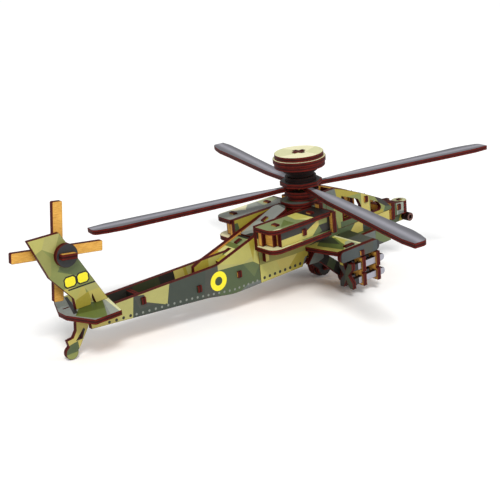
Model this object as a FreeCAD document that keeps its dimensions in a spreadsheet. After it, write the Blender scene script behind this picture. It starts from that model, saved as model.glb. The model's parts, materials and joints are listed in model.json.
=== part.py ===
import FreeCAD, Part
import math
import os

import Sketcher

# Display model of a tandem-seat attack helicopter, cut from 3 mm plywood sheet.
#
# Millimetres. Aircraft axes while building: +X to the nose, +Y to port, +Z along the mast,
# with X = 0 and Y = 0 on the mast and Z = 0 on the underside of the belly. stand_on_floor()
# then tips the finished model nose-up until both main wheels and the tail wheel touch Z = 0.

os.makedirs("parts", exist_ok=True)
doc = FreeCAD.newDocument("helicopter")
sheet = doc.addObject("Spreadsheet::Sheet", "Sizes")

PORT = 1
STARBOARD = -1
SIDE_NAMES = {PORT: "port", STARBOARD: "stbd"}
PLANES = {"side": "XZ_Plane", "cross": "YZ_Plane", "flat": "XY_Plane"}
TOUCH = 1e-6

# alias: (value, what it is)
DRIVING_SIZES = {
    "ply": (3.0, "sheet thickness"),
    "half_width": (9.0, "mast axis to the outer face of a side panel"),
    "boom_top": (21.7, "top edge of the boom"),
    "boom_end": (-168.5, "rear end of the boom panels"),
    "boom_step": (-151.5, "where the stabilizer seat is cut into the boom"),
    "boom_foot": (-79.0, "where the top edge turns up towards the mast"),
    "seam": (-47.0, "joint between rear and front side panels"),
    "panel_top": (38.7, "top edge of the side panels under the mast"),
    "canopy_rear": (12.0, "rear edge of the canopy frames"),
    "canopy_sill": (16.0, "lower edge of the canopy frames"),
    "canopy_crown": (44.0, "highest edge of the canopy frames"),
    "nose_tip": (72.8, "front end of the canopy frames"),
    "tab_rise": (1.0, "how far a tab stands out of its slot"),
    "tab_span": (4.0, "length of a tab across its slot"),
    "stab_bottom": (20.0, "underside of the stabilizer"),
    "stab_half_span": (22.5, "mast plane to stabilizer tip"),
    "fin_foot": (23.0, "lower edge of the fin"),
    "fin_tip": (69.0, "top of the fin"),
    "tail_axis_along": (-174.0, "tail rotor axis, along the fuselage"),
    "tail_axis_up": (56.0, "tail rotor axis, above the belly"),
    "tail_reach": (28.0, "tail rotor axis to the end of an arm"),
    "tail_arm_width": (6.0, "width of a tail rotor arm"),
    "tail_lean": (8.8, "rest angle of the tail rotor, degrees"),
    "cap_radius": (6.6, "tail rotor cap discs"),
    "knob_width": (9.5, "flat key through the tail rotor cap"),
    "neck_width": (4.6, "width of the key where it turns in the fin"),
    "running_gap": (0.3, "gap beside a turning disc"),
    "turn_clearance": (0.2, "radial clearance of a square pin in its hole"),
    "wheel_along": (23.7, "main wheel axis, along the fuselage"),
    "wheel_up": (-15.2, "main wheel axis, below the belly"),
    "wheel_radius": (7.1, "main wheel"),
    "wheel_cap_radius": (5.0, "outer disc of a main wheel"),
    "tail_wheel_along": (-178.5, "tail wheel centre, along the fuselage"),
    "tail_wheel_up": (-0.8, "tail wheel centre"),
    "tail_wheel_radius": (3.9, "tail wheel"),
    "nacelle_top": (38.3, "top face of an engine nacelle"),
    "nacelle_bottom": (22.8, "underside of an engine nacelle"),
    "nacelle_rear": (-50.5, "rear end of an engine nacelle"),
    "nacelle_front": (-2.0, "front end of the nacelle plates"),
    "nacelle_out": (28.3, "mast plane to the outer edge of a nacelle"),
    "nacelle_round": (6.5, "radius of the rear corner of a nacelle"),
    "nacelle_wall": (26.5, "mast plane to the outside of a nacelle wall"),
    "wing_top": (12.5, "top face of a stub wing"),
    "wing_out": (33.0, "mast plane to the inside of a wing end plate"),
    "rack_centre": (30.5, "mast plane to the middle of a missile rack"),
    "rack_pitch": (9.5, "height between missile rows"),
    "rack_half_gap": (3.0, "rack middle to the middle of a missile column"),
    "missile_height": (4.5, "height of a missile"),
    "sponson_out": (17.0, "mast plane to the outside of a sponson"),
    "turret_along": (89.5, "nose turret axis"),
    "turret_radius": (5.2, "nose turret discs"),
    "hub_plane": (51.0, "top face of the rotor blades"),
    "rotor_radius": (140.0, "mast axis to a blade tip"),
    "rotor_rest": (-16.46, "rest angle of the first blade, degrees"),
    "hub_radius": (13.5, "upper hub plate"),
    "collar_radius": (11.0, "lower hub plate"),
    "dome_radius": (15.6, "top disc of the radar dome"),
    "dome_step": (1.2, "how much wider the middle dome disc is"),
    "mast_base_radius": (9.2, "fixed disc under the rotor"),
    "key_width": (9.0, "width of the crossed shaft strips"),
}


class Size:
    """A length with the spreadsheet expression that gives it."""

    def __init__(self, value, text):
        self.value = value
        self.text = text

    def __add__(self, other):
        other = as_size(other)
        return Size(self.value + other.value, f"({self.text} + {other.text})")

    def __sub__(self, other):
        other = as_size(other)
        return Size(self.value - other.value, f"({self.text} - {other.text})")

    def __radd__(self, other):
        return as_size(other) + self

    def __rsub__(self, other):
        return as_size(other) - self

    def __mul__(self, factor):
        return Size(self.value * factor, f"({self.text} * {factor})")

    def __neg__(self):
        return self * -1


def as_size(thing):
    return thing if isinstance(thing, Size) else Size(float(thing), repr(float(thing)))


def number(thing):
    return as_size(thing).value


def write_sheet():
    """Puts every driving size in the sheet and returns them by name."""
    sizes = {}
    for row, (alias, (value, note)) in enumerate(DRIVING_SIZES.items(), start=1):
        sheet.set(f"A{row}", note)
        sheet.set(f"B{row}", str(value))
        sheet.setAlias(f"B{row}", alias)
        sizes[alias] = Size(value, f"Sizes.{alias}")
    doc.recompute()
    return sizes


SIZES = write_sheet()
PLY = SIZES["ply"]
HALF_WIDTH = SIZES["half_width"]
INNER = HALF_WIDTH - PLY
nodes = []


# ---------------------------------------------------------------- sheet-cutting helpers
def origin_plane(body, kind):
    role = PLANES[kind]
    return next(f for f in body.Origin.OriginFeatures if f.Role == role)


def new_sketch(body, kind, name):
    sketch = body.newObject("Sketcher::SketchObject", name)
    sketch.AttachmentSupport = [(origin_plane(body, kind), "")]
    sketch.MapMode = "FlatFace"
    return sketch


def pin_point(sketch, geometry, point, place):
    """Holds one sketch point at its place, bound to the sheet where it has a named size."""
    for axis, coordinate in zip(("DistanceX", "DistanceY"), place):
        size = as_size(coordinate)
        index = sketch.addConstraint(
            Sketcher.Constraint(axis, -1, 1, geometry, point, size.value)
        )
        if "Sizes" in size.text:
            sketch.setExpression(f"Constraints[{index}]", size.text)


def draw_outline(sketch, points):
    """Closed polygon through the points, each given as (across, up)."""
    places = [FreeCAD.Vector(number(a), number(b), 0) for a, b in points]
    lines = []
    for start, end in zip(places, places[1:] + places[:1]):
        lines.append(sketch.addGeometry(Part.LineSegment(start, end), False))
    for line, following in zip(lines, lines[1:] + lines[:1]):
        sketch.addConstraint(Sketcher.Constraint("Coincident", line, 2, following, 1))
    for line, place in zip(lines, points):
        pin_point(sketch, line, 1, place)


def draw_circle(sketch, centre, radius):
    middle = FreeCAD.Vector(number(centre[0]), number(centre[1]), 0)
    circle = Part.Circle(middle, FreeCAD.Vector(0, 0, 1), number(radius))
    geometry = sketch.addGeometry(circle, False)
    pin_point(sketch, geometry, 3, centre)
    size = as_size(radius)
    index = sketch.addConstraint(Sketcher.Constraint("Radius", geometry, size.value))
    if "Sizes" in size.text:
        sketch.setExpression(f"Constraints[{index}]", size.text)


def pad(body, kind, name, depth, draw):
    """One extruded sketch. A side plate grows from its plane towards -Y."""
    sketch = new_sketch(body, kind, name + "_sketch")
    draw(sketch)
    feature = body.newObject("PartDesign::Pad", name)
    feature.Profile = sketch
    feature.setExpression("Length", as_size(depth).text)
    return feature


def corner_edges(shape, kind, corner):
    """Names of the edges that run through the sheet at one corner of its outline."""
    across, up = number(corner[0]), number(corner[1])
    wanted = {
        "side": lambda v: (v.x, v.z),
        "cross": lambda v: (v.y, v.z),
        "flat": lambda v: (v.x, v.y),
    }[kind]
    names = []
    for index, edge in enumerate(shape.Edges, start=1):
        ends = [wanted(vertex.Point) for vertex in edge.Vertexes]
        if len(ends) == 2 and all(math.dist(end, (across, up)) < TOUCH for end in ends):
            names.append(f"Edge{index}")
    return names


def plate(label, kind, outline, at=(0, 0, 0), holes=(), rounds=(), discs=(), bores=(),
          depth=PLY, tilt=0.0):
    """A flat piece of sheet: outline, square holes, round bores, rounded corners.

    kind is side (normal to Y), cross (normal to X) or flat (normal to Z). at is the place
    of the piece's own origin; tilt turns it about Y there, nose-up positive.
    """
    body = doc.addObject("PartDesign::Body", label)
    body.Label = label

    def profile(sketch):
        draw_outline(sketch, outline)
        for hole in holes:
            draw_outline(sketch, hole)
        for centre, radius in bores:
            draw_circle(sketch, centre, radius)

    last = pad(body, kind, label + "_pad", depth, profile)
    for index, (centre, radius) in enumerate(discs):
        last = pad(body, kind, f"{label}_round{index}", depth,
                   lambda sketch: draw_circle(sketch, centre, radius))
    for index, (corners, radius) in enumerate(rounds):
        doc.recompute()
        edges = []
        for corner in corners:
            edges += corner_edges(last.Shape, kind, corner)
        fillet = body.newObject("PartDesign::Fillet", f"{label}_fillet{index}")
        fillet.Base = (last, edges)
        fillet.setExpression("Radius", as_size(radius).text)
        last = fillet
    body.Placement = placed(at, tilt)
    return body


def disc(label, kind, radius, at, hole=(), bore=None, depth=PLY):
    """A round piece of sheet about its own origin, with an optional square or round hole."""
    body = doc.addObject("PartDesign::Body", label)
    body.Label = label

    def profile(sketch):
        draw_circle(sketch, (0, 0), radius)
        if hole:
            draw_outline(sketch, hole)
        if bore:
            draw_circle(sketch, (0, 0), bore)

    pad(body, kind, label + "_pad", depth, profile)
    body.Placement = placed(at)
    return body


def drill(body, kind, label, centre, radius):
    """Cuts a round hole right through a finished plate."""
    sketch = new_sketch(body, kind, label + "_hole_sketch")
    draw_circle(sketch, centre, radius)
    doc.recompute()
    before = body.Shape.Volume
    pocket = body.newObject("PartDesign::Pocket", label + "_hole")
    pocket.Profile = sketch
    pocket.Type = "ThroughAll"
    pocket.Midplane = True
    doc.recompute()
    if body.Shape.Volume >= before:
        raise RuntimeError(f"{label}: the hole cuts nothing")


def placed(at, tilt=0.0):
    turn = FreeCAD.Rotation(FreeCAD.Vector(0, 1, 0), -tilt)
    return FreeCAD.Placement(FreeCAD.Vector(*[number(c) for c in at]), turn)


def rectangle(left, bottom, right, top):
    return [(left, bottom), (right, bottom), (right, top), (left, top)]


def square(side):
    half = as_size(side) * 0.5
    return rectangle(-half, -half, half, half)


def across_sheet(side, inner):
    """Y of the pad origin of a side plate that starts at inner and goes outwards."""
    return as_size(inner) + PLY if side == PORT else -as_size(inner)


def group(label, pieces):
    """Several separate pieces that share one node."""
    compound = doc.addObject("Part::Compound", label)
    compound.Label = label
    compound.Links = pieces
    return compound


def keep(piece):
    nodes.append(piece)
    return piece


# ---------------------------------------------------------------- fuselage and boom
FRAME_TAB_HEIGHTS = {-133.4: 17.4, -94.1: 11.7, -63.5: 11.3}


def tab_slot(along, up):
    """Slot in a side panel for the tab of a cross frame, both given by their middles."""
    half = SIZES["tab_span"] * 0.5
    return rectangle(as_size(along) - PLY * 0.5, as_size(up) - half,
                     as_size(along) + PLY * 0.5, as_size(up) + half)


def rear_side_panel(side):
    outline = [
        (SIZES["boom_end"], 12.2),
        (-88.0, 3.6),
        (-69.0, 0.0),
        (SIZES["seam"], 0.0),
        (SIZES["seam"], 31.5),
        (SIZES["boom_foot"], SIZES["boom_top"]),
        (SIZES["boom_step"], SIZES["boom_top"]),
        (SIZES["boom_step"], SIZES["stab_bottom"]),
        (SIZES["boom_end"], SIZES["stab_bottom"]),
    ]
    slots = [tab_slot(along, up) for along, up in FRAME_TAB_HEIGHTS.items()]
    rounds = [([(-69.0, 0.0), (-88.0, 3.6)], 40.0)]
    rounds.append(([(SIZES["boom_foot"], SIZES["boom_top"])], 14.0))
    return plate(f"rear_side_panel_{SIDE_NAMES[side]}", "side", outline,
                 at=(0, across_sheet(side, INNER), 0), holes=slots, rounds=rounds)


WING_TABS = ((0.0, 6.0), (17.0, 23.0))


def front_side_panel(side):
    front = 70.0
    outline = [
        (SIZES["seam"], 0.0),
        (-12.0, 0.0),
        (-6.0, 8.0),
        (9.0, 8.0),
        (13.0, PLY),
        (64.0, PLY),
        (front, 9.0),
        (front, SIZES["canopy_sill"]),
        (SIZES["canopy_rear"], SIZES["canopy_sill"]),
        (SIZES["canopy_rear"], SIZES["panel_top"]),
        (-14.0, SIZES["panel_top"]),
        (-30.0, 36.5),
        (SIZES["seam"], 31.5),
    ]
    wing_bottom = SIZES["wing_top"] - PLY
    slots = [rectangle(rear, wing_bottom, nose, SIZES["wing_top"]) for rear, nose in WING_TABS]
    return plate(f"front_side_panel_{SIDE_NAMES[side]}", "side", outline,
                 at=(0, across_sheet(side, INNER), 0), holes=slots,
                 rounds=[([(-14.0, SIZES["panel_top"])], 25.0)])


def canopy_frame(side):
    outline = [
        (SIZES["canopy_rear"], SIZES["canopy_sill"]),
        (71.5, SIZES["canopy_sill"]),
        (SIZES["nose_tip"], 17.5),
        (63.4, 25.8),
        (44.6, 34.6),
        (28.6, 41.1),
        (20.0, SIZES["canopy_crown"]),
        (SIZES["canopy_rear"], SIZES["canopy_crown"]),
    ]
    rear_window = [(26.0, 20.0), (43.3, 20.0), (43.3, 26.3), (40.8, 31.4), (26.0, 37.2)]
    front_window = [(52.2, 18.4), (64.0, 18.4), (59.5, 24.4), (52.2, 27.6)]
    partition_slot = tab_slot(PARTITION_ALONG, PARTITION_TAB)
    return plate(f"canopy_frame_{SIDE_NAMES[side]}", "side", outline,
                 at=(0, across_sheet(side, INNER), 0),
                 holes=[rear_window, front_window, partition_slot],
                 rounds=[([(63.4, 25.8)], 20.0), ([(64.0, 18.4)], 2.0), ([(59.5, 24.4)], 3.0)])


PARTITION_ALONG = 48.0
PARTITION_TAB = 29.5


def boom_frames():
    """The two cross frames that space the boom panels, with a tab through each panel."""
    reach = HALF_WIDTH + SIZES["tab_rise"]
    half_tab = SIZES["tab_span"] * 0.5
    frames = []
    for index, (along, bottom, top) in enumerate(((-133.4, 12.0, 20.4), (-94.1, 5.6, 14.4))):
        tab = as_size(FRAME_TAB_HEIGHTS[along])
        outline = cross_with_tabs(bottom, top, tab - half_tab, tab + half_tab, reach)
        frames.append(plate(f"boom_frame_{index}", "cross", outline,
                            at=(as_size(along) - PLY * 0.5, 0, 0)))
    return group("boom_frames", frames)


def cross_with_tabs(bottom, top, tab_low, tab_high, reach):
    """Outline of a cross frame between the panels, with one tab each side."""
    return [
        (-INNER, bottom),
        (INNER, bottom),
        (INNER, tab_low),
        (reach, tab_low),
        (reach, tab_high),
        (INNER, tab_high),
        (INNER, top),
        (-INNER, top),
        (-INNER, tab_high),
        (-reach, tab_high),
        (-reach, tab_low),
        (-INNER, tab_low),
    ]


def body_frames():
    """Cross frames of the cabin. The first one is tabbed through the rear panels."""
    reach = HALF_WIDTH + SIZES["tab_rise"]
    half_tab = SIZES["tab_span"] * 0.5
    along = -63.5
    tab = as_size(FRAME_TAB_HEIGHTS[along])
    first = plate("body_frame_0", "cross",
                  cross_with_tabs(PLY, 14.0, tab - half_tab, tab + half_tab, reach),
                  at=(as_size(along) - PLY * 0.5, 0, 0))
    frames = [first]
    for index, (place, top) in enumerate(((-29.0, 14.0), (-3.0, 30.0)), start=1):
        frames.append(plate(f"body_frame_{index}", "cross",
                            rectangle(-INNER, PLY, INNER, top), at=(place, 0, 0)))
    return group("body_frames", frames)


DECK_FOLD = -49.0
REAR_DECK_SLOPE = 17.1
REAR_DECK_LENGTH = 27.0
PYLON_DECK_SLOPE = 20.1
PYLON_DECK_LENGTH = 34.0
DECK_FOLD_UP = 29.7


def deck_place(slope):
    """Lower rear corner of a sloping deck whose top face meets the fold line."""
    lean = math.radians(slope)
    return DECK_FOLD + PLY.value * math.sin(lean), DECK_FOLD_UP - PLY.value * math.cos(lean)


def rear_deck():
    """Sloping deck behind the mast; the keel stands up through its rear slot."""
    slot_end = -13.5
    half_slot = PLY * 0.5
    outline = [
        (-REAR_DECK_LENGTH, -INNER),
        (0.0, -INNER),
        (0.0, INNER),
        (-REAR_DECK_LENGTH, INNER),
        (-REAR_DECK_LENGTH, half_slot),
        (slot_end, half_slot),
        (slot_end, -half_slot),
        (-REAR_DECK_LENGTH, -half_slot),
    ]
    along, up = deck_place(REAR_DECK_SLOPE)
    tab = rectangle(-8.4, -half_slot, -4.0, half_slot)
    return plate("rear_deck", "flat", outline, at=(along, 0, up), tilt=REAR_DECK_SLOPE,
                 holes=[tab])


def pylon_deck():
    gap = 1.0
    outline = rectangle(gap, -INNER, PYLON_DECK_LENGTH, INNER)
    corners = [(PYLON_DECK_LENGTH, -INNER), (PYLON_DECK_LENGTH, INNER)]
    along, up = deck_place(PYLON_DECK_SLOPE)
    tab = rectangle(15.6, PLY * -0.5, 20.0, PLY * 0.5)
    return plate("pylon_deck", "flat", outline, at=(along, 0, up), tilt=PYLON_DECK_SLOPE,
                 holes=[tab], rounds=[(corners, 5.0)])


def deck_keel():
    """Middle plate under the decks, with the tops of its tabs standing out of them."""
    outline = [
        (-91.0, 15.0),
        (-20.0, 15.0),
        (-20.0, 34.5),
        (-29.6, 32.9),
        (-47.0, 26.5),
        (-62.0, 22.0),
        (-62.0, 25.0),
        (-85.0, 25.0),
        (-91.0, 22.4),
    ]
    pieces = [plate("keel_plate", "side", outline, at=(0, PLY * 0.5, 0))]
    rise = 1.0
    for index, (slope, middle) in enumerate(
            ((REAR_DECK_SLOPE, -6.2), (PYLON_DECK_SLOPE, 17.8))):
        along, up = deck_place(slope)
        tab = rectangle(middle - 2.2, 0.0, middle + 2.2, PLY + rise)
        pieces.append(plate(f"keel_tab_{index}", "side", tab,
                            at=(along, PLY * 0.5, up), tilt=slope))
    return group("deck_keel", pieces)


def belly_plate():
    outline = rectangle(-68.0, -INNER, 9.6, INNER)
    return plate("belly_plate", "flat", outline)


def boom_floor():
    slope = -6.1
    length = 53.0
    outline = rectangle(0.0, -INNER, length, INNER)
    return plate("boom_floor", "flat", outline, at=(-158.5, 0, 11.2), tilt=slope)


def mast_deck():
    """Deck on top of the side panels that carries the rotor."""
    rear, front, wide = -14.0, SIZES["canopy_rear"], 11.0
    outline = rectangle(rear, -wide, front, wide)
    return plate("mast_deck", "flat", outline, at=(0, 0, SIZES["panel_top"]),
                 bores=[((0, 0), SHAFT_BORE)],
                 rounds=[([(rear, -wide), (rear, wide)], 9.0)])


def mast_base():
    return disc("mast_base", "flat", SIZES["mast_base_radius"],
                at=(0, 0, SIZES["panel_top"] + PLY), bore=SHAFT_BORE)


# ---------------------------------------------------------------- tail
def fin():
    """Swept fin, with a foot between the boom panels and a notch in its lower edge."""
    outline = [
        (-194.0, SIZES["fin_tip"]),
        (-184.7, 45.0),
        (-172.4, 29.6),
        (-171.9, SIZES["fin_foot"]),
        (-162.6, SIZES["fin_foot"]),
        (-160.8, 29.0),
        (-159.2, SIZES["fin_foot"]),
        (-151.3, SIZES["fin_foot"]),
        (-175.0, SIZES["fin_tip"] - 0.4),
    ]
    bore = SIZES["neck_width"] * 0.5 + 0.5
    return plate("fin", "side", outline, at=(0, PLY * 0.5, 0),
                 bores=[((SIZES["tail_axis_along"], SIZES["tail_axis_up"]), bore)])


def stabilizer():
    tip = SIZES["stab_half_span"]
    outline = [
        (-150.6, 0.0),
        (-156.0, tip),
        (-172.8, tip),
        (-180.3, 4.0),
        (-180.3, -4.0),
        (-172.8, -tip),
        (-156.0, -tip),
    ]
    slot = rectangle(-176.3, 5.0, -172.6, 6.0)
    return plate("stabilizer", "flat", outline, at=(0, 0, SIZES["stab_bottom"]), holes=[slot])


def tail_strut():
    """Tail wheel and its strut, one flat piece that hangs between the boom panels."""
    outline = [
        (-173.0, SIZES["stab_bottom"]),
        (-174.1, 10.9),
        (-176.5, 7.4),
        (-180.6, 6.9),
        (-179.8, 3.2),
        (-181.0, 1.0),
        (-176.5, -2.6),
        (-173.0, 1.3),
        (-170.3, 5.2),
        (-166.3, 10.8),
        (-163.4, SIZES["stab_bottom"]),
    ]
    gap = [(-170.1, 10.2), (-174.0, 5.9), (-171.3, 5.9)]
    wheel = ((SIZES["tail_wheel_along"], SIZES["tail_wheel_up"]), SIZES["tail_wheel_radius"])
    return plate("tail_strut", "side", outline, at=(0, PLY * 0.5, 0), holes=[gap],
                 discs=[wheel])


TAIL_AXIS = (SIZES["tail_axis_along"], SIZES["tail_axis_up"])


def on_tail_axis(along_axis, up=0.0):
    """Placement on the tail rotor's axis, turned to its rest angle."""
    turn = placed((TAIL_AXIS[0], 0, TAIL_AXIS[1]), -SIZES["tail_lean"].value)
    offset = FreeCAD.Vector(0, number(along_axis), number(up))
    return turn * FreeCAD.Placement(offset, FreeCAD.Rotation())


def tail_rotor():
    """Four arms cut in one piece, with a slot for the key."""
    reach = SIZES["tail_reach"]
    half = SIZES["tail_arm_width"] * 0.5
    outline = [
        (reach, -half), (reach, half), (half, half), (half, reach),
        (-half, reach), (-half, half), (-reach, half), (-reach, -half),
        (-half, -half), (-half, -reach), (half, -reach), (half, -half),
    ]
    ends = [c for c in outline if abs(number(c[0])) + abs(number(c[1])) > 20]
    body = plate("tail_rotor", "side", outline, holes=[key_slot(SIZES["neck_width"])],
                 rounds=[(ends, 0.8)])
    body.Placement = on_tail_axis(PLY * 2.5 + SIZES["running_gap"])
    return body


def key_slot(width):
    half = as_size(width) * 0.5
    return rectangle(-half, PLY * -0.5, half, PLY * 0.5)


def tail_caps():
    """Discs of the tail rotor: a cap outside the fin and a spacer behind it."""
    gap = SIZES["running_gap"]
    cap = disc("tail_cap", "side", SIZES["cap_radius"], at=(0, 0, 0),
               hole=key_slot(SIZES["knob_width"]))
    cap.Placement = on_tail_axis(PLY * -0.5 - gap)
    spacer = disc("tail_spacer", "side", SIZES["cap_radius"], at=(0, 0, 0),
                  hole=key_slot(SIZES["neck_width"]))
    spacer.Placement = on_tail_axis(PLY * 1.5 + gap)
    return group("tail_caps", [cap, spacer])


def tail_key():
    """Flat key that the tail rotor turns on: a wide knob and a neck through the fin."""
    knob = SIZES["knob_width"] * 0.5
    neck = SIZES["neck_width"] * 0.5
    shoulder = PLY * -0.5 - SIZES["running_gap"]
    knob_end = shoulder - PLY * 2
    port_end = PLY * 2.5 + SIZES["running_gap"] + 1.0
    outline = [
        (-knob, knob_end), (knob, knob_end), (knob, shoulder), (neck, shoulder),
        (neck, port_end), (-neck, port_end), (-neck, shoulder), (-knob, shoulder),
    ]
    body = plate("tail_key", "flat", outline)
    body.Placement = on_tail_axis(0.0, PLY * -0.5)
    return body


# ---------------------------------------------------------------- engine nacelles
RIB_TAB = (18.0, 22.6)
RIB_ALONG = (-42.5, -14.0)
MIDDLE_RIB_ALONG = -25.3
WALL_TAB = (28.4, 32.4)
NACELLE_INNER = HALF_WIDTH + PLY


def nacelle_plate(side, level, label):
    out = SIZES["nacelle_out"] * side
    inner = NACELLE_INNER * side
    rear, front = SIZES["nacelle_rear"], SIZES["nacelle_front"]
    outline = [(rear, inner), (front, inner), (front, out), (rear, out)]
    slots = []
    for along in RIB_ALONG:
        slots.append(rectangle(along, side * RIB_TAB[0], along + PLY, side * RIB_TAB[1]))
    return plate(f"nacelle_{label}_{SIDE_NAMES[side]}", "flat", outline, at=(0, 0, level),
                 holes=slots,
                 rounds=[([(rear, out)], SIZES["nacelle_round"]), ([(front, out)], 1.5)])


def nacelle_wall(side):
    """Outer wall of a nacelle, with a slot for the middle rib's tab."""
    low, high = SIZES["nacelle_bottom"] + PLY, SIZES["nacelle_top"] - PLY
    outline = rectangle(-42.6, low, SIZES["nacelle_front"], high)
    slot = rectangle(MIDDLE_RIB_ALONG, WALL_TAB[0], MIDDLE_RIB_ALONG + PLY, WALL_TAB[1])
    return plate(f"nacelle_wall_{SIDE_NAMES[side]}", "side", outline,
                 at=(0, across_sheet(side, SIZES["nacelle_wall"] - PLY), 0), holes=[slot])


def nacelle_root(side):
    """Inner wall of a nacelle, flat on the side panel, with a tongue that hangs below."""
    low, high = SIZES["nacelle_bottom"], SIZES["nacelle_top"]
    outline = [
        (-49.6, low), (-44.2, low), (-44.2, 13.8), (-41.2, 13.8), (-41.2, low),
        (SIZES["nacelle_front"], low), (SIZES["nacelle_front"], high), (-49.6, high),
    ]
    return plate(f"nacelle_root_{SIDE_NAMES[side]}", "side", outline,
                 at=(0, across_sheet(side, HALF_WIDTH), 0))


def nacelle_ribs(side):
    """Cross ribs between the nacelle plates, with one taller rib across the front."""
    low, high = SIZES["nacelle_bottom"] + PLY, SIZES["nacelle_top"] - PLY
    rise = SIZES["tab_rise"]
    inner = NACELLE_INNER * side
    wall = (SIZES["nacelle_wall"] - PLY) * side
    name = SIDE_NAMES[side]
    ribs = []
    for index, (along, reach) in enumerate(((-48.6, 15.6), (-45.6, 22.2))):
        outline = [(inner, low), (side * reach, low), (side * reach, high), (inner, high)]
        ribs.append(plate(f"rib_end_{name}_{index}", "cross", outline, at=(along, 0, 0)))
    for index, along in enumerate(RIB_ALONG):
        outline = [
            (inner, low), (side * RIB_TAB[0], low),
            (side * RIB_TAB[0], low - PLY - rise), (side * RIB_TAB[1], low - PLY - rise),
            (side * RIB_TAB[1], low), (wall, low),
            (wall, high), (side * RIB_TAB[1], high),
            (side * RIB_TAB[1], high + PLY + rise), (side * RIB_TAB[0], high + PLY + rise),
            (side * RIB_TAB[0], high), (inner, high),
        ]
        ribs.append(plate(f"rib_{name}_{index}", "cross", outline, at=(along, 0, 0)))
    tab_end = (SIZES["nacelle_wall"] + rise) * side
    outline = [
        (inner, low), (wall, low), (wall, WALL_TAB[0]), (tab_end, WALL_TAB[0]),
        (tab_end, WALL_TAB[1]), (wall, WALL_TAB[1]), (wall, high), (inner, high),
    ]
    ribs.append(plate(f"rib_middle_{name}", "cross", outline, at=(MIDDLE_RIB_ALONG, 0, 0)))
    outline = [
        (inner, 24.0), (side * 29.4, 24.0), (side * 29.4, 37.6), (side * 18.0, 37.6),
        (side * 18.0, 41.0), (side * 13.4, 41.0), (side * 13.4, 37.6), (inner, 37.6),
    ]
    ribs.append(plate(f"rib_front_{name}", "cross", outline, at=(SIZES["nacelle_front"], 0, 0)))
    return ribs


# ---------------------------------------------------------------- wings and stores
def wing(side):
    inner = HALF_WIDTH * side
    out = SIZES["wing_out"] * side
    tab_end = INNER * side
    outline = [(-8.5, inner), (-3.5, out), (29.0, out), (31.0, inner)]
    for rear, front in reversed(WING_TABS):
        outline += [(front, inner), (front, tab_end), (rear, tab_end), (rear, inner)]
    pylon_inner = (SIZES["rack_centre"] - PLY * 0.5) * side
    pylon_outer = (SIZES["rack_centre"] + PLY * 0.5) * side
    slot = rectangle(PYLON_TAB[0], pylon_inner, PYLON_TAB[1], pylon_outer)
    return plate(f"wing_{SIDE_NAMES[side]}", "flat", outline,
                 at=(0, 0, SIZES["wing_top"] - PLY), holes=[slot])


PYLON_TAB = (5.5, 13.0)
WING_RIB_ALONG = 13.5
WING_RIB_TAB = (5.8, 9.0)


def wing_end_plate(side):
    top = SIZES["wing_top"]
    outline = rectangle(-3.8, top - 7.5, 31.2, top)
    slot = rectangle(WING_RIB_ALONG, WING_RIB_TAB[0], WING_RIB_ALONG + PLY, WING_RIB_TAB[1])
    return plate(f"end_plate_{SIDE_NAMES[side]}", "side", outline,
                 at=(0, across_sheet(side, SIZES["wing_out"]), 0), holes=[slot],
                 rounds=[(outline, 3.2)])


def wing_rib(side):
    """Spar under a wing, with a tab through the end plate."""
    out = SIZES["wing_out"] * side
    tab_end = (SIZES["wing_out"] + PLY + SIZES["tab_rise"]) * side
    under = SIZES["wing_top"] - PLY
    pylon_inner = (SIZES["rack_centre"] - PLY * 0.5) * side
    pylon_outer = (SIZES["rack_centre"] + PLY * 0.5) * side
    outline = [
        (HALF_WIDTH * side, under), (HALF_WIDTH * side, 5.0), (pylon_inner, 5.0),
        (pylon_inner, 7.2), (pylon_outer, 7.2), (pylon_outer, 5.0), (out, 5.0),
        (out, WING_RIB_TAB[0]), (tab_end, WING_RIB_TAB[0]), (tab_end, WING_RIB_TAB[1]),
        (out, WING_RIB_TAB[1]), (out, under),
    ]
    return plate(f"wing_rib_{SIDE_NAMES[side]}", "cross", outline, at=(WING_RIB_ALONG, 0, 0))


RACK_TOP = 4.3
RACK_FRAMES = (14.5, 27.5)
MISSILE_ROW_TOP = -1.5


def rack_pylon(side):
    """Plate that hangs a missile rack under the wing, halved over the wing rib."""
    under = SIZES["wing_top"] - PLY
    top = SIZES["wing_top"] + SIZES["tab_rise"]
    rib_rear, rib_front = WING_RIB_ALONG, WING_RIB_ALONG + PLY
    outline = [
        (3.0, RACK_TOP), (32.0, RACK_TOP), (26.0, under), (rib_front, under),
        (rib_front, 7.2), (rib_rear, 7.2), (rib_rear, under), (PYLON_TAB[1], under),
        (PYLON_TAB[1], top), (PYLON_TAB[0], top), (PYLON_TAB[0], under), (3.0, under),
    ]
    inner = SIZES["rack_centre"] - PLY * 0.5
    return plate(f"pylon_{SIDE_NAMES[side]}", "side", outline,
                 at=(0, across_sheet(side, inner), 0))


def missile_rows():
    upper = as_size(MISSILE_ROW_TOP)
    return (upper, upper - SIZES["rack_pitch"])


def missile_columns(side):
    """Inner Y limit of the two missile columns on one side, the near one first."""
    middle = SIZES["rack_centre"]
    gap = SIZES["rack_half_gap"]
    return [middle - gap - PLY * 0.5, middle + gap - PLY * 0.5]


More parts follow.
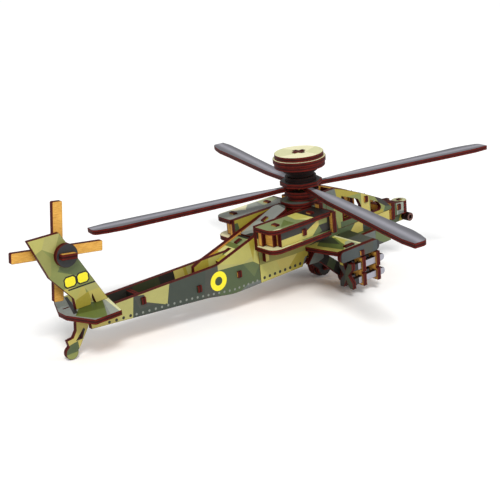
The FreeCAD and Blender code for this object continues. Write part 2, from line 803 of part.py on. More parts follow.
def rack_frames(side):
    """Two frames that hold four missiles, and the tail cross behind them."""
    half_height = SIZES["missile_height"] * 0.5
    pieces = []
    inner, outer = side * 24.5, side * 36.7
    low = -15.2
    notch_low, notch_high = -7.0, -5.6
    notch = side * 35.6
    for index, along in enumerate(RACK_FRAMES):
        outline = [
            (inner, RACK_TOP), (inner, low), (outer, low), (outer, notch_low),
            (notch, notch_low), (notch, notch_high), (outer, notch_high), (outer, RACK_TOP),
        ]
        holes = []
        for row in missile_rows():
            for column in missile_columns(side):
                holes.append(rectangle(column * side, row - half_height,
                                       (column + PLY) * side, row + half_height))
        pieces.append(plate(f"rack_frame_{SIDE_NAMES[side]}_{index}", "cross", outline,
                            at=(along, 0, 0), holes=holes))
    pieces.append(tail_cross(side, half_height))
    return pieces


def tail_cross(side, half_height):
    """The fins of the four missiles, cut as one cross."""
    middle = SIZES["rack_centre"] * side
    centre = number(missile_rows()[0]) - number(SIZES["rack_pitch"]) * 0.5
    arm_out, arm_up, waist = 5.8, 8.6, 2.0
    outline = [
        (middle - arm_out, centre + arm_up), (middle - arm_out, centre + arm_up - 4.0),
        (middle - waist, centre), (middle - arm_out, centre - arm_up + 4.0),
        (middle - arm_out, centre - arm_up), (middle - waist - 0.6, centre - arm_up),
        (middle, centre - 3.4), (middle + waist + 0.6, centre - arm_up),
        (middle + arm_out, centre - arm_up), (middle + arm_out, centre - arm_up + 4.0),
        (middle + waist, centre), (middle + arm_out, centre + arm_up - 4.0),
        (middle + arm_out, centre + arm_up), (middle + waist + 0.6, centre + arm_up),
        (middle, centre + 3.4), (middle - waist - 0.6, centre + arm_up),
    ]
    return plate(f"missile_fins_{SIDE_NAMES[side]}", "cross", outline, at=(5.0, 0, 0))


def missiles(side):
    """Four flat missiles with rounded noses."""
    half = SIZES["missile_height"] * 0.5
    rear, nose = 5.0, 36.0
    pieces = []
    for row in missile_rows():
        for column in missile_columns(side):
            outline = rectangle(as_size(rear) + PLY, row - half, nose, row + half)
            corners = [(nose, row - half), (nose, row + half)]
            pieces.append(plate(f"missile_{SIDE_NAMES[side]}_{len(pieces)}", "side", outline,
                                at=(0, across_sheet(side, column), 0),
                                rounds=[(corners, 2.1)]))
    return group(f"missiles_{SIDE_NAMES[side]}", pieces)


# ---------------------------------------------------------------- sponsons, cockpit, nose
def sponson_floor():
    """Floor of the front fuselage that also carries both sponsons."""
    wide = SIZES["sponson_out"] - PLY
    outline = [
        (9.6, -INNER), (13.5, -HALF_WIDTH), (18.0, -wide), (58.0, -wide),
        (62.0, -HALF_WIDTH), (64.0, 0.0), (62.0, HALF_WIDTH), (58.0, wide), (18.0, wide),
        (13.5, HALF_WIDTH), (9.6, INNER),
    ]
    return plate("sponson_floor", "flat", outline)


def sponson_side(side):
    outline = [(18.0, -1.8), (62.0, -1.8), (62.0, 4.0), (57.0, 9.3), (18.0, 9.3)]
    return plate(f"sponson_side_{SIDE_NAMES[side]}", "side", outline,
                 at=(0, across_sheet(side, SIZES["sponson_out"] - PLY), 0))


def sponson_top(side):
    inner = HALF_WIDTH * side
    outer = (SIZES["sponson_out"] - PLY) * side
    outline = [(20.0, inner), (55.0, inner), (55.0, outer), (20.0, outer)]
    return plate(f"sponson_top_{SIDE_NAMES[side]}", "flat", outline, at=(0, 0, 5.4))


def cockpit_floor():
    outline = rectangle(24.0, -INNER, 66.0, INNER)
    return plate("cockpit_floor", "flat", outline, at=(0, 0, 12.0))


def cockpit_frames():
    """Cabin wall, the yoke between the two seats, and the seat backs."""
    reach = HALF_WIDTH + SIZES["tab_rise"]
    half_tab = SIZES["tab_span"] * 0.5
    tab = as_size(PARTITION_TAB)
    wall = plate("cabin_wall", "cross", rectangle(-INNER, PLY, INNER, 38.0),
                 at=(SIZES["canopy_rear"] + 2.0, 0, 0))
    yoke = [
        (-INNER, 15.0), (INNER, 15.0), (INNER, tab - half_tab), (reach, tab - half_tab),
        (reach, tab + half_tab), (INNER, tab + half_tab), (INNER, 32.4), (4.5, 32.4),
        (4.5, 22.0), (-4.5, 22.0), (-4.5, 32.4), (-INNER, 32.4), (-INNER, tab + half_tab),
        (-reach, tab + half_tab), (-reach, tab - half_tab), (-INNER, tab - half_tab),
    ]
    partition = plate("seat_partition", "cross", yoke,
                      at=(as_size(PARTITION_ALONG) - PLY * 0.5, 0, 0))
    seat = plate("rear_seat", "cross", rectangle(-4.0, 15.0, 4.0, 27.0),
                 at=(29.0, 0, 0), rounds=[([(-4.0, 27.0), (4.0, 27.0)], 2.5)])
    front_seat = plate("front_seat", "cross", rectangle(-4.0, 15.0, 4.0, 21.5),
                       at=(55.0, 0, 0), rounds=[([(-4.0, 21.5), (4.0, 21.5)], 2.5)])
    return group("cockpit_frames", [wall, partition, seat, front_seat])


def canopy_roof():
    """Sloping plate between the tops of the canopy frames, over the rear seat."""
    slope = -22.1
    return plate("canopy_roof", "flat", rectangle(0.0, -INNER, 24.0, INNER),
                 at=(21.0, 0, 39.6), tilt=slope)


def nose_bulkhead():
    half_slot = PLY * 0.5
    outline = [
        (-INNER, PLY), (-half_slot, PLY), (-half_slot, 7.4), (half_slot, 7.4),
        (half_slot, PLY), (INNER, PLY), (INNER, 19.5), (-INNER, 19.5),
    ]
    return plate("nose_bulkhead", "cross", outline, at=(66.0, 0, 0))


CHEEK_INNER = 5.0
CHEEK_TAB = (13.0, 17.0)
CROSSBAR_ALONG = 79.0


def nose_cheek(side):
    """Side plate behind the turret."""
    outline = [(76.5, 9.5), (85.5, 9.5), (85.5, 17.6), (76.5, 18.6)]
    slot = rectangle(CROSSBAR_ALONG, CHEEK_TAB[0], CROSSBAR_ALONG + PLY, CHEEK_TAB[1])
    return plate(f"nose_cheek_{SIDE_NAMES[side]}", "side", outline,
                 at=(0, across_sheet(side, CHEEK_INNER), 0), holes=[slot])


def nose_frames():
    """Cross piece tabbed through both cheeks, and the wider frame behind them."""
    reach = PLY + CHEEK_INNER + SIZES["tab_rise"]
    crossbar = [
        (-CHEEK_INNER, KEEL_TOP), (CHEEK_INNER, KEEL_TOP), (CHEEK_INNER, CHEEK_TAB[0]),
        (reach, CHEEK_TAB[0]), (reach, CHEEK_TAB[1]), (CHEEK_INNER, CHEEK_TAB[1]),
        (CHEEK_INNER, 18.0), (-CHEEK_INNER, 18.0), (-CHEEK_INNER, CHEEK_TAB[1]),
        (-reach, CHEEK_TAB[1]), (-reach, CHEEK_TAB[0]), (-CHEEK_INNER, CHEEK_TAB[0]),
    ]
    rear = rectangle(-8.2, KEEL_TOP, 8.2, 19.6)
    return group("nose_frames", [
        plate("nose_crossbar", "cross", crossbar, at=(CROSSBAR_ALONG, 0, 0)),
        plate("nose_rear_frame", "cross", rear, at=(73.3, 0, 0)),
    ])


SENSOR_AXIS = (92.4, 4.4)
KEEL_TOP = 7.4


def nose_keel():
    """Middle plate of the nose; its upright tab carries the turret discs."""
    pivot = SIZES["turret_along"]
    outline = [
        (64.0, PLY), (66.0, 1.4), (94.6, 1.4), (95.9, 4.4), (94.6, 7.4),
        (pivot + PLY * 0.5, KEEL_TOP), (pivot + PLY * 0.5, 17.0),
        (pivot - PLY * 0.5, 17.0), (pivot - PLY * 0.5, KEEL_TOP), (64.0, KEEL_TOP),
    ]
    hole = [(a + SENSOR_AXIS[0], b + SENSOR_AXIS[1]) for a, b in small_square()]
    return plate("nose_keel", "side", outline, at=(0, PLY * 0.5, 0), holes=[hole])


def small_square():
    half = 1.1
    return [(-half, -half), (half, -half), (half, half), (-half, half)]


def turret_drum():
    """Three discs pushed over the square tab of the nose keel."""
    discs = []
    for level in range(3):
        discs.append(disc(f"turret_disc_{level}", "flat", SIZES["turret_radius"],
                          at=(SIZES["turret_along"], 0, PLY * level + KEEL_TOP),
                          hole=square(PLY)))
    return group("turret_drum", discs)


def sensor_discs():
    """Two discs each side of the nose keel on one square pin."""
    pieces = []
    for side in (PORT, STARBOARD):
        for index in range(2):
            inner = PLY * (0.5 + index)
            pieces.append(disc(f"sensor_disc_{SIDE_NAMES[side]}_{index}", "side", 3.0,
                               at=(SENSOR_AXIS[0], across_sheet(side, inner), SENSOR_AXIS[1]),
                               hole=small_square()))
    pieces.append(plate("sensor_pin", "side", small_square(), depth=PLY * 5 + 1.0,
                        at=(SENSOR_AXIS[0], PLY * 2.5 + 0.5, SENSOR_AXIS[1])))
    return group("sensor_discs", pieces)


# ---------------------------------------------------------------- main gear
PIN_BORE = PLY * 0.7072 + SIZES["turn_clearance"]
SHAFT_BORE = Size(math.hypot(4.5, 1.5), "sqrt((Sizes.key_width / 2)^2 + (Sizes.ply / 2)^2)")
SHAFT_BORE = SHAFT_BORE + SIZES["turn_clearance"]
WHEEL_AXIS = (SIZES["wheel_along"], SIZES["wheel_up"])


def gear_leg(side):
    """Trailing leg on the outside of a side panel, with a round end at the axle."""
    outline = [
        (-9.5, 1.0), (1.0, 0.0), (20.0, -17.2), (27.0, -13.0), (8.6, 2.0), (3.0, 7.6),
        (-4.0, 7.6),
    ]
    body = plate(f"gear_leg_{SIDE_NAMES[side]}", "side", outline,
                 at=(0, across_sheet(side, HALF_WIDTH), 0), discs=[(WHEEL_AXIS, 6.0)])
    drill(body, "side", f"gear_leg_{SIDE_NAMES[side]}", WHEEL_AXIS, PIN_BORE)
    return body


def wheel(side):
    """Two tyre discs and a smaller outer disc on the axle pin."""
    start = HALF_WIDTH + PLY + SIZES["running_gap"]
    radii = (SIZES["wheel_radius"], SIZES["wheel_radius"], SIZES["wheel_cap_radius"])
    discs = []
    for index, radius in enumerate(radii):
        inner = start + PLY * index
        discs.append(disc(f"wheel_disc_{SIDE_NAMES[side]}_{index}", "side", radius,
                          at=(WHEEL_AXIS[0], across_sheet(side, inner), WHEEL_AXIS[1]),
                          hole=square(PLY)))
    return group(f"wheel_{SIDE_NAMES[side]}", discs)


def axle_pin(side):
    inner = HALF_WIDTH - 2.6
    length = 17.0
    near = inner + length if side == PORT else -inner
    return plate(f"axle_pin_{SIDE_NAMES[side]}", "side", square(PLY), depth=length,
                 at=(WHEEL_AXIS[0], near, WHEEL_AXIS[1]))


# ---------------------------------------------------------------- main rotor
def key_cross():
    """Outline of the crossed shaft strips, as the hole they pass through."""
    wide = SIZES["key_width"] * 0.5
    thin = PLY * 0.5
    return [
        (wide, -thin), (wide, thin), (thin, thin), (thin, wide), (-thin, wide), (-thin, thin),
        (-wide, thin), (-wide, -thin), (-thin, -thin), (-thin, -wide), (thin, -wide),
        (thin, -thin),
    ]


def rotor_disc(label, radius, level):
    return disc(label, "flat", radius, at=(0, 0, level), hole=key_cross())


def hub_plates():
    lower = rotor_disc("hub_collar", SIZES["collar_radius"], SIZES["hub_plane"] - PLY * 2)
    corners = []
    for step in range(8):
        angle = math.radians(45 * step + 22.5 + SIZES["rotor_rest"].value)
        corners.append((SIZES["hub_radius"] * round(math.cos(angle), 6),
                        SIZES["hub_radius"] * round(math.sin(angle), 6)))
    upper = plate("hub_plate", "flat", corners, at=(0, 0, SIZES["hub_plane"]),
                  holes=[key_cross()])
    below_deck = SIZES["panel_top"] - PLY - SIZES["running_gap"]
    retainer = rotor_disc("shaft_retainer", 5.6, below_deck)
    return group("hub_plates", [lower, upper, retainer])


def dome_spindle():
    top = SIZES["hub_plane"] + PLY
    radii = (10.0, 8.5, 11.0)
    discs = []
    for index, radius in enumerate(radii):
        discs.append(rotor_disc(f"spindle_disc_{index}", radius, top + PLY * index))
    return group("dome_spindle", discs)


def radar_dome():
    base = SIZES["hub_plane"] + PLY * 4
    dome = SIZES["dome_radius"]
    radii = (dome + 0.6, dome + SIZES["dome_step"], dome)
    discs = []
    for index, radius in enumerate(radii):
        discs.append(rotor_disc(f"dome_disc_{index}", radius, base + PLY * index))
    return group("radar_dome", discs)


def rotor_shaft():
    """Two strips halved over each other, from below the mast deck to the dome."""
    half = SIZES["key_width"] * 0.5
    thin = PLY * 0.5
    low = SIZES["panel_top"] - PLY * 1.5
    high = SIZES["hub_plane"] + PLY * 7 + 0.4
    middle = (low + high) * 0.5
    first = plate("shaft_strip_a", "side", [
        (-half, low), (-thin, low), (-thin, middle), (thin, middle), (thin, low), (half, low),
        (half, high), (-half, high)], at=(0, PLY * 0.5, 0))
    second = plate("shaft_strip_b", "cross", [
        (-half, low), (half, low), (half, high), (thin, high), (thin, middle), (-thin, middle),
        (-thin, high), (-half, high)], at=(PLY * -0.5, 0, 0))
    return group("rotor_shaft", [first, second])


def rotor_blade(index):
    """One blade: narrow root, wider tip with a rounded leading corner."""
    tip = SIZES["rotor_radius"]
    outline = [
        (6.2, -1.7), (16.8, -1.7), (30.0, -3.1), (43.4, -4.2), (84.0, -4.2), (tip - 31.5, -4.6),
        (tip - 10.5, -4.5), (tip, -2.9), (tip - 1.2, 5.6), (tip - 9.8, 7.2), (tip - 19.6, 8.0),
        (tip - 30.8, 7.3), (88.2, 6.6), (67.2, 5.9), (43.4, 5.0), (28.0, 3.3), (16.8, 1.7),
        (6.2, 1.7),
    ]
    blade = plate(f"rotor_blade_{'abcd'[index]}", "flat", outline,
                  rounds=[([(tip - 1.2, 5.6)], 4.0)])
    turn = FreeCAD.Rotation(FreeCAD.Vector(0, 0, 1), SIZES["rotor_rest"].value - 90.0 * index)
    level = number(SIZES["hub_plane"] - PLY)
    blade.Placement = FreeCAD.Placement(FreeCAD.Vector(0, 0, level), turn)
    return blade


# ---------------------------------------------------------------- assembly
def stand_angle():
    """Nose-up angle at which the main wheels and the tail wheel touch one floor."""
    length = number(SIZES["wheel_along"] - SIZES["tail_wheel_along"])
    rise = number(SIZES["tail_wheel_up"] - SIZES["wheel_up"])
    reach = math.hypot(length, rise)
    radii = number(SIZES["wheel_radius"] - SIZES["tail_wheel_radius"])
    return math.degrees(math.atan2(rise, length) + math.asin(radii / reach))


def bounds(pieces):
    box = FreeCAD.BoundBox()
    for piece in pieces:
        box.add(piece.Shape.BoundBox)
    return box


def stand_on_floor():
    """Tips every node nose-up and puts the origin on the floor under the model's middle."""
    tip = FreeCAD.Placement(FreeCAD.Vector(), FreeCAD.Rotation(FreeCAD.Vector(0, 1, 0),
                                                               -stand_angle()))
    for node in nodes:
        node.Placement = tip * node.Placement
    doc.recompute()
    box = bounds(nodes)
    shift = FreeCAD.Placement(
        FreeCAD.Vector(-box.Center.x, -box.Center.y, -box.ZMin), FreeCAD.Rotation())
    for node in nodes:
        node.Placement = shift * node.Placement
    doc.recompute()
    return shift * tip


def check_document():
    for thing in doc.Objects:
        if "Invalid" in thing.State or "Error" in thing.State:
            raise RuntimeError(f"{thing.Label} failed: {thing.State}")
    for node in nodes:
        if node.Shape.isNull() or not node.Shape.isValid():
            raise RuntimeError(f"{node.Label} has no valid shape")


def build():
    for side in (STARBOARD, PORT):
        for make in (rear_side_panel, front_side_panel, canopy_frame, wing):
            keep(make(side))
        keep(nacelle_plate(side, SIZES["nacelle_top"] - PLY, "top"))
        keep(nacelle_plate(side, SIZES["nacelle_bottom"], "bottom"))
        keep(missiles(side))
        keep(wheel(side))
        keep(axle_pin(side))
    both = (STARBOARD, PORT)
    for make in (boom_frames, body_frames, rear_deck, pylon_deck, deck_keel,
                 belly_plate, boom_floor, mast_deck, mast_base, fin, stabilizer, tail_strut,
                 tail_rotor, tail_caps, tail_key, sponson_floor, cockpit_floor,
                 cockpit_frames, canopy_roof, nose_bulkhead, nose_frames, nose_keel,
                 turret_drum, sensor_discs, hub_plates, dome_spindle, radar_dome, rotor_shaft):
        keep(make())
    keep(group("nacelle_walls", [nacelle_wall(side) for side in both]
               + [nacelle_root(side) for side in both]))
    keep(group("nacelle_ribs", nacelle_ribs(STARBOARD) + nacelle_ribs(PORT)))
    keep(group("wing_end_plates", [wing_end_plate(side) for side in both]))
    keep(group("wing_ribs", [wing_rib(side) for side in both]))
    keep(group("rack_pylons", [rack_pylon(side) for side in both]))
    keep(group("rack_frames", rack_frames(STARBOARD) + rack_frames(PORT)))
    keep(group("sponson_sides", [sponson_side(side) for side in both]))
    keep(group("sponson_tops", [sponson_top(side) for side in both]))
    keep(group("nose_cheeks", [nose_cheek(side) for side in both]))
    keep(group("gear_legs", [gear_leg(side) for side in both]))
    for index in range(4):
        keep(rotor_blade(index))


build()
doc.recompute()
check_document()
pose = stand_on_floor()
check_document()
for node in nodes:
    node.Shape.exportStep(f"parts/{node.Label}.step")

places = {
    "mast": (0, 0, number(SIZES["hub_plane"])),
    "tail_rotor": (number(TAIL_AXIS[0]), 0, number(TAIL_AXIS[1])),
    "wheel_stbd": (number(WHEEL_AXIS[0]), -number(HALF_WIDTH), number(WHEEL_AXIS[1])),
    "wheel_port": (number(WHEEL_AXIS[0]), number(HALF_WIDTH), number(WHEEL_AXIS[1])),
    "turret": (number(SIZES["turret_along"]), 0, 7.4),
    "belly_middle": (-20, 0, 0),
}
for name, place in places.items():
    print(name, pose.multVec(FreeCAD.Vector(*place)))
print("mast axis", pose.Rotation.multVec(FreeCAD.Vector(0, 0, 1)))
print("nose-up degrees", stand_angle(), "nodes", len(nodes))
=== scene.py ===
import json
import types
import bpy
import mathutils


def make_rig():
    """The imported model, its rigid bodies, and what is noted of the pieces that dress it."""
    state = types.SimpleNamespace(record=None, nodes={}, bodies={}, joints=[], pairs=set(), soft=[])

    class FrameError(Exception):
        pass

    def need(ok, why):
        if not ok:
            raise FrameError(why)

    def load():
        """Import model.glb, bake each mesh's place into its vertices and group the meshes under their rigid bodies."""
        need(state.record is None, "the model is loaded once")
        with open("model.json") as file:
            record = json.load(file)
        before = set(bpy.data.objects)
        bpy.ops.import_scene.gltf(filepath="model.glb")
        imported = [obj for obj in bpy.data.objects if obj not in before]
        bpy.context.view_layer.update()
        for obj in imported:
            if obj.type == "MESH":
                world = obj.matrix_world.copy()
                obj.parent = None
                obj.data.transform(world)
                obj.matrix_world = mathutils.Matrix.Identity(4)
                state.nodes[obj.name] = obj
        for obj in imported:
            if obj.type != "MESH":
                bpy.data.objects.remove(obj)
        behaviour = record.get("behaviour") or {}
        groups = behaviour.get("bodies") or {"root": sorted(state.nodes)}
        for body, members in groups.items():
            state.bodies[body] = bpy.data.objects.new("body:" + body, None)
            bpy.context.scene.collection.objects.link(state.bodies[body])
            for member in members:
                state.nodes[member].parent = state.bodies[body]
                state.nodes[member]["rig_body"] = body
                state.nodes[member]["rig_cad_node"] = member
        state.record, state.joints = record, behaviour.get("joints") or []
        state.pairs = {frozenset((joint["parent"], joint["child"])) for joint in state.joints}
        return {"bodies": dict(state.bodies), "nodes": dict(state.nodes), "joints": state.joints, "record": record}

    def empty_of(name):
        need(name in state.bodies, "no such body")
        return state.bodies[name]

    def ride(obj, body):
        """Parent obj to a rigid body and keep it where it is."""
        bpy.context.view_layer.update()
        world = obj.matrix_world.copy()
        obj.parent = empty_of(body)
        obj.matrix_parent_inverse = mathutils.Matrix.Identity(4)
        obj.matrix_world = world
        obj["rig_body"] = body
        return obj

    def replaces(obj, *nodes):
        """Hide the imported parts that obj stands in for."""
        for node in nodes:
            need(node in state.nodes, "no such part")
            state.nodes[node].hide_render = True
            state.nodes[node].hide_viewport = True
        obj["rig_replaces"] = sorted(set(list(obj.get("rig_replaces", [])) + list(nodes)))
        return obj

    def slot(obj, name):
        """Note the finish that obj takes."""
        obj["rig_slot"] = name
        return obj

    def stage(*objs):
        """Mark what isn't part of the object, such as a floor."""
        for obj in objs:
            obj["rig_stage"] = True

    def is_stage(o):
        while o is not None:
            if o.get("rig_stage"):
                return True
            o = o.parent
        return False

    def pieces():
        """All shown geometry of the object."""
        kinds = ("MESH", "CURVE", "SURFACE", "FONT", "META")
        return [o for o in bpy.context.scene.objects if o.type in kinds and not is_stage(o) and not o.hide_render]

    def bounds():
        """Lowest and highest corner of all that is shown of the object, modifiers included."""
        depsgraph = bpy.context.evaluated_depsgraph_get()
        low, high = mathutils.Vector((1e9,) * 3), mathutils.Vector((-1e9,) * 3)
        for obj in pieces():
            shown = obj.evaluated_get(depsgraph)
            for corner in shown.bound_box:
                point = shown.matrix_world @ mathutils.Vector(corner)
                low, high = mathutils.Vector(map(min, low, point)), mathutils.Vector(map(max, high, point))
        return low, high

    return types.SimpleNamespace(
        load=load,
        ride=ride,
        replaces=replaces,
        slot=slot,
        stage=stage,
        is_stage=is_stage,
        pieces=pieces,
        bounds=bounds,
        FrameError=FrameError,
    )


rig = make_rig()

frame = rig.load()

import json
import math

import bmesh
import bpy
from mathutils import Matrix, Vector
from mathutils.geometry import tessellate_polygon

# Looks of a display helicopter cut from printed plywood. Every sheet of the CAD model is
# rebuilt with broken edges, a printed face split into colour facets, a bare back and a
# scorched cut edge. Lengths are millimetres in the aircraft's own axes (+X nose, +Y port,
# +Z along the mast, Z = 0 on the underside of the belly) until a mesh is placed.

start_low, start_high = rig.bounds()

METRES = 0.001          # one millimetre in metres
CENTIMETRES = 0.1       # one millimetre in centimetres, the unit of the UV map "sheet"
PLY = 3.0               # thickness of the plywood
MAST_TOP = 51.0         # height of the rotor joint's point
EDGE_BREAK = 0.16       # width of the broken edge round every face
SMOKE_WIDTH = 0.85      # width of the browned margin on a bare face

# ---------------------------------------------------------------- aircraft axes
mast_joint = next(j for j in frame["joints"] if j["name"] == "mast_turn")
UP_AXIS = Vector(mast_joint["axis"]).normalized()
NOSE_AXIS = Vector((UP_AXIS.z, 0.0, -UP_AXIS.x))
PORT_AXIS = Vector((0.0, 1.0, 0.0))
MAST_POINT = Vector(mast_joint["pos_m"])


def to_world(point):
    """Row-frame metres of a point in aircraft millimetres."""
    level = point[2] - MAST_TOP
    away = NOSE_AXIS * point[0] + PORT_AXIS * point[1] + UP_AXIS * level
    return MAST_POINT + away * METRES


def to_aircraft(place):
    """Aircraft millimetres of a point in row-frame metres."""
    away = (Vector(place) - MAST_POINT) / METRES
    return Vector((away.dot(NOSE_AXIS), away.dot(PORT_AXIS), away.dot(UP_AXIS) + MAST_TOP))


# ---------------------------------------------------------------- palette (sRGB, 0-255)
def linear(colour):
    """Scene-linear RGBA of an sRGB colour."""
    parts = []
    for value in colour:
        share = value / 255.0
        parts.append(share / 12.92 if share <= 0.04045 else ((share + 0.055) / 1.055) ** 2.4)
    return (*parts, 1.0)


def grey(level):
    return (level, level, level, 1.0)


# Tones that start with "side_" are for upright faces, the others mostly for level ones.
TONES = {
    "cream": (226, 221, 180), "ivory": (206, 205, 158), "straw": (196, 193, 118),
    "sand": (182, 177, 88), "brass": (160, 150, 46), "meadow": (118, 130, 84),
    "sage": (152, 160, 126), "leaf": (88, 102, 42), "fern": (66, 78, 20),
    "moss": (42, 48, 24), "storm": (122, 126, 120), "stone": (140, 146, 136),
    "lead": (64, 70, 64), "soot": (20, 19, 15), "coal": (30, 30, 32),
    "umber": (82, 44, 36), "shell": (150, 150, 160), "black": (14, 13, 13),
    "gold": (196, 134, 56), "iron": (54, 61, 61),
    "side_pale": (158, 154, 90), "side_light": (167, 162, 86), "side_sand": (172, 160, 82),
    "side_ochre": (148, 135, 42), "side_olive": (120, 126, 66), "side_green": (66, 80, 48),
    "side_fern": (84, 96, 56), "side_slate": (48, 56, 47), "side_dusk": (58, 60, 52),
    "side_night": (36, 34, 29), "side_khaki": (132, 132, 70), "side_steel": (88, 94, 90),
    # The second tone on the line below is a printed band darkened by painted shadow from the nacelle above it.
    "side_mist": (134, 142, 130), "side_band_nacelle_shadow": (122, 118, 52),
    "mark": (232, 218, 30), "mark_core": (50, 66, 40), "rivet": (118, 122, 114),
    "dot": (22, 22, 18), "blade_dark": (92, 91, 97), "blade_root": (84, 83, 88),
}
EDGE_TONE = (0.1, 0.05, 0.04, 1.0)


# ---------------------------------------------------------------- materials
class Shader:
    """A node material being wired up. The helpers give the output socket to link onwards."""

    def __init__(self, name):
        self.material = bpy.data.materials.new(name)
        self.material.use_nodes = True
        self.tree = self.material.node_tree
        self.tree.nodes.clear()
        result = self.add("ShaderNodeOutputMaterial")
        self.surface = self.add("ShaderNodeBsdfPrincipled")
        self.link(self.surface.outputs["BSDF"], result.inputs["Surface"])

    def add(self, kind, **values):
        node = self.tree.nodes.new(kind)
        for key, value in values.items():
            setattr(node, key, value)
        return node

    def link(self, output, socket):
        self.tree.links.new(output, socket)

    def attribute(self, name):
        return self.add("ShaderNodeAttribute", attribute_name=name).outputs["Fac"]

    def sheet_place(self, stretch):
        """Position on the sheet in centimetres, drawn out along the grain."""
        place = self.add("ShaderNodeUVMap", uv_map="sheet")
        scale = self.add("ShaderNodeMapping")
        scale.inputs["Scale"].default_value = stretch
        self.link(place.outputs["UV"], scale.inputs["Vector"])
        return scale.outputs["Vector"]

    def noise(self, place, scale, detail, rough=0.55, distortion=0.0):
        node = self.add("ShaderNodeTexNoise")
        node.inputs["Scale"].default_value = scale
        node.inputs["Detail"].default_value = detail
        node.inputs["Roughness"].default_value = rough
        node.inputs["Distortion"].default_value = distortion
        self.link(place, node.inputs["Vector"])
        return node.outputs["Fac"]

    def ramp(self, source, stops):
        """Colours of the stops, each a position and a colour, along the source."""
        node = self.add("ShaderNodeValToRGB")
        band = node.color_ramp
        while len(band.elements) < len(stops):
            band.elements.new(0.5)
        for element, (at, colour) in zip(band.elements, stops):
            element.position = at
            element.color = colour
        self.link(source, node.inputs["Fac"])
        return node.outputs["Color"]

    def mix(self, share, first, second, blend="MIX"):
        """Blend of two colours; share, first and second are sockets or plain values."""
        node = self.add("ShaderNodeMix", data_type="RGBA", blend_type=blend)
        # A Mix node keeps sockets for every data type: 0 is the factor, 6 and 7 the colours,
        # and output 2 is the mixed colour.
        for index, value in ((0, share), (6, first), (7, second)):
            if isinstance(value, bpy.types.NodeSocket):
                self.link(value, node.inputs[index])
            else:
                node.inputs[index].default_value = value
        return node.outputs[2]

    def shaded(self, colour, source, *stops):
        """The colour times a grey; each stop is a position along the source and a level."""
        tint = self.ramp(source, [(at, grey(level)) for at, level in stops])
        return self.mix(1.0, colour, tint, "MULTIPLY")

    def roughness(self, source, low, high):
        """Roughness that runs from low to high as the source runs from 0 to 1."""
        node = self.add("ShaderNodeMapRange")
        node.inputs["To Min"].default_value = low
        node.inputs["To Max"].default_value = high
        self.link(source, node.inputs["Value"])
        self.link(node.outputs["Result"], self.surface.inputs["Roughness"])

    def relief(self, source, strength, distance):
        node = self.add("ShaderNodeBump")
        node.inputs["Strength"].default_value = strength
        node.inputs["Distance"].default_value = distance
        self.link(source, node.inputs["Height"])
        self.link(node.outputs["Normal"], self.surface.inputs["Normal"])


def printed_ply(name):
    """Thin ink on a sanded face: the facet colour, with wood fibres showing through."""
    shader = Shader(name)
    fibre = shader.noise(shader.sheet_place((1.0, 14.0, 1.0)), 9.0, 6.0, 0.6)
    cloud = shader.noise(shader.sheet_place((1.0, 1.0, 1.0)), 1.1, 3.0)
    speck = shader.noise(shader.sheet_place((1.0, 3.0, 1.0)), 34.0, 2.0)
    colour = shader.add("ShaderNodeVertexColor", layer_name="tone").outputs["Color"]
    colour = shader.shaded(colour, fibre, (0.30, 0.84), (0.68, 1.05))
    colour = shader.shaded(colour, cloud, (0.30, 0.90), (0.70, 1.0))
    colour = shader.shaded(colour, speck, (0.24, 0.62), (0.34, 1.0))
    shader.link(colour, shader.surface.inputs["Base Color"])
    shader.surface.inputs["Specular IOR Level"].default_value = 0.42
    shader.roughness(fibre, 0.44, 0.66)
    shader.relief(fibre, 0.16, 0.00005)
    return shader.material


def bare_ply(name, light, middle, dark, burnt):
    """Unprinted veneer: long grain, pores, slow colour changes and a browned margin."""
    shader = Shader(name)
    grain = shader.noise(shader.sheet_place((0.7, 9.0, 1.0)), 4.0, 7.0, 0.62, 0.6)
    pores = shader.noise(shader.sheet_place((2.0, 40.0, 1.0)), 6.0, 2.0)
    slow = shader.noise(shader.sheet_place((1.0, 1.6, 1.0)), 0.7, 2.0)
    stops = [(0.28, linear(dark)), (0.50, linear(middle)), (0.74, linear(light))]
    colour = shader.ramp(grain, stops)
    colour = shader.shaded(colour, pores, (0.30, 0.66), (0.42, 1.0))
    colour = shader.shaded(colour, slow, (0.30, 0.84), (0.72, 1.0))
    colour = shader.mix(shader.attribute("rim"), colour, linear(burnt))
    shader.link(colour, shader.surface.inputs["Base Color"])
    shader.surface.inputs["Specular IOR Level"].default_value = 0.35
    shader.roughness(grain, 0.55, 0.78)
    shader.relief(pores, 0.22, 0.00006)
    return shader.material


def scorched_edge(name, outer_ply, core_ply):
    """Laser-cut edge: three ply layers burnt brown, with faint cut marks."""
    shader = Shader(name)
    outer, core = linear(outer_ply), linear(core_ply)
    colour = shader.ramp(shader.attribute("depth"), [
        (0.00, core), (0.10, outer), (0.31, outer), (0.35, core),
        (0.64, core), (0.68, outer), (0.90, outer), (1.00, core),
    ])
    cuts = shader.noise(shader.sheet_place((26.0, 26.0, 1.0)), 1.6, 3.0, 0.7)
    soot = shader.noise(shader.sheet_place((1.0, 1.0, 1.0)), 2.2, 4.0)
    colour = shader.shaded(colour, cuts, (0.30, 0.55), (0.70, 1.0))
    colour = shader.shaded(colour, soot, (0.30, 0.50), (0.66, 1.0))
    shader.link(colour, shader.surface.inputs["Base Color"])
    shader.surface.inputs["Specular IOR Level"].default_value = 0.12
    shader.roughness(soot, 0.50, 0.72)
    shader.relief(cuts, 0.30, 0.00008)
    return shader.material


PRINT = printed_ply("printed_ply")
RAW = bare_ply("bare_ply", (232, 186, 98), (208, 154, 64), (164, 110, 42), (84, 34, 16))
EDGE = scorched_edge("scorched_edge", (104, 24, 14), (58, 10, 7))
DARK_EDGE = scorched_edge("dark_edge", (40, 16, 13), (20, 9, 8))
PRINT_SLOT, RAW_SLOT, EDGE_SLOT = range(3)

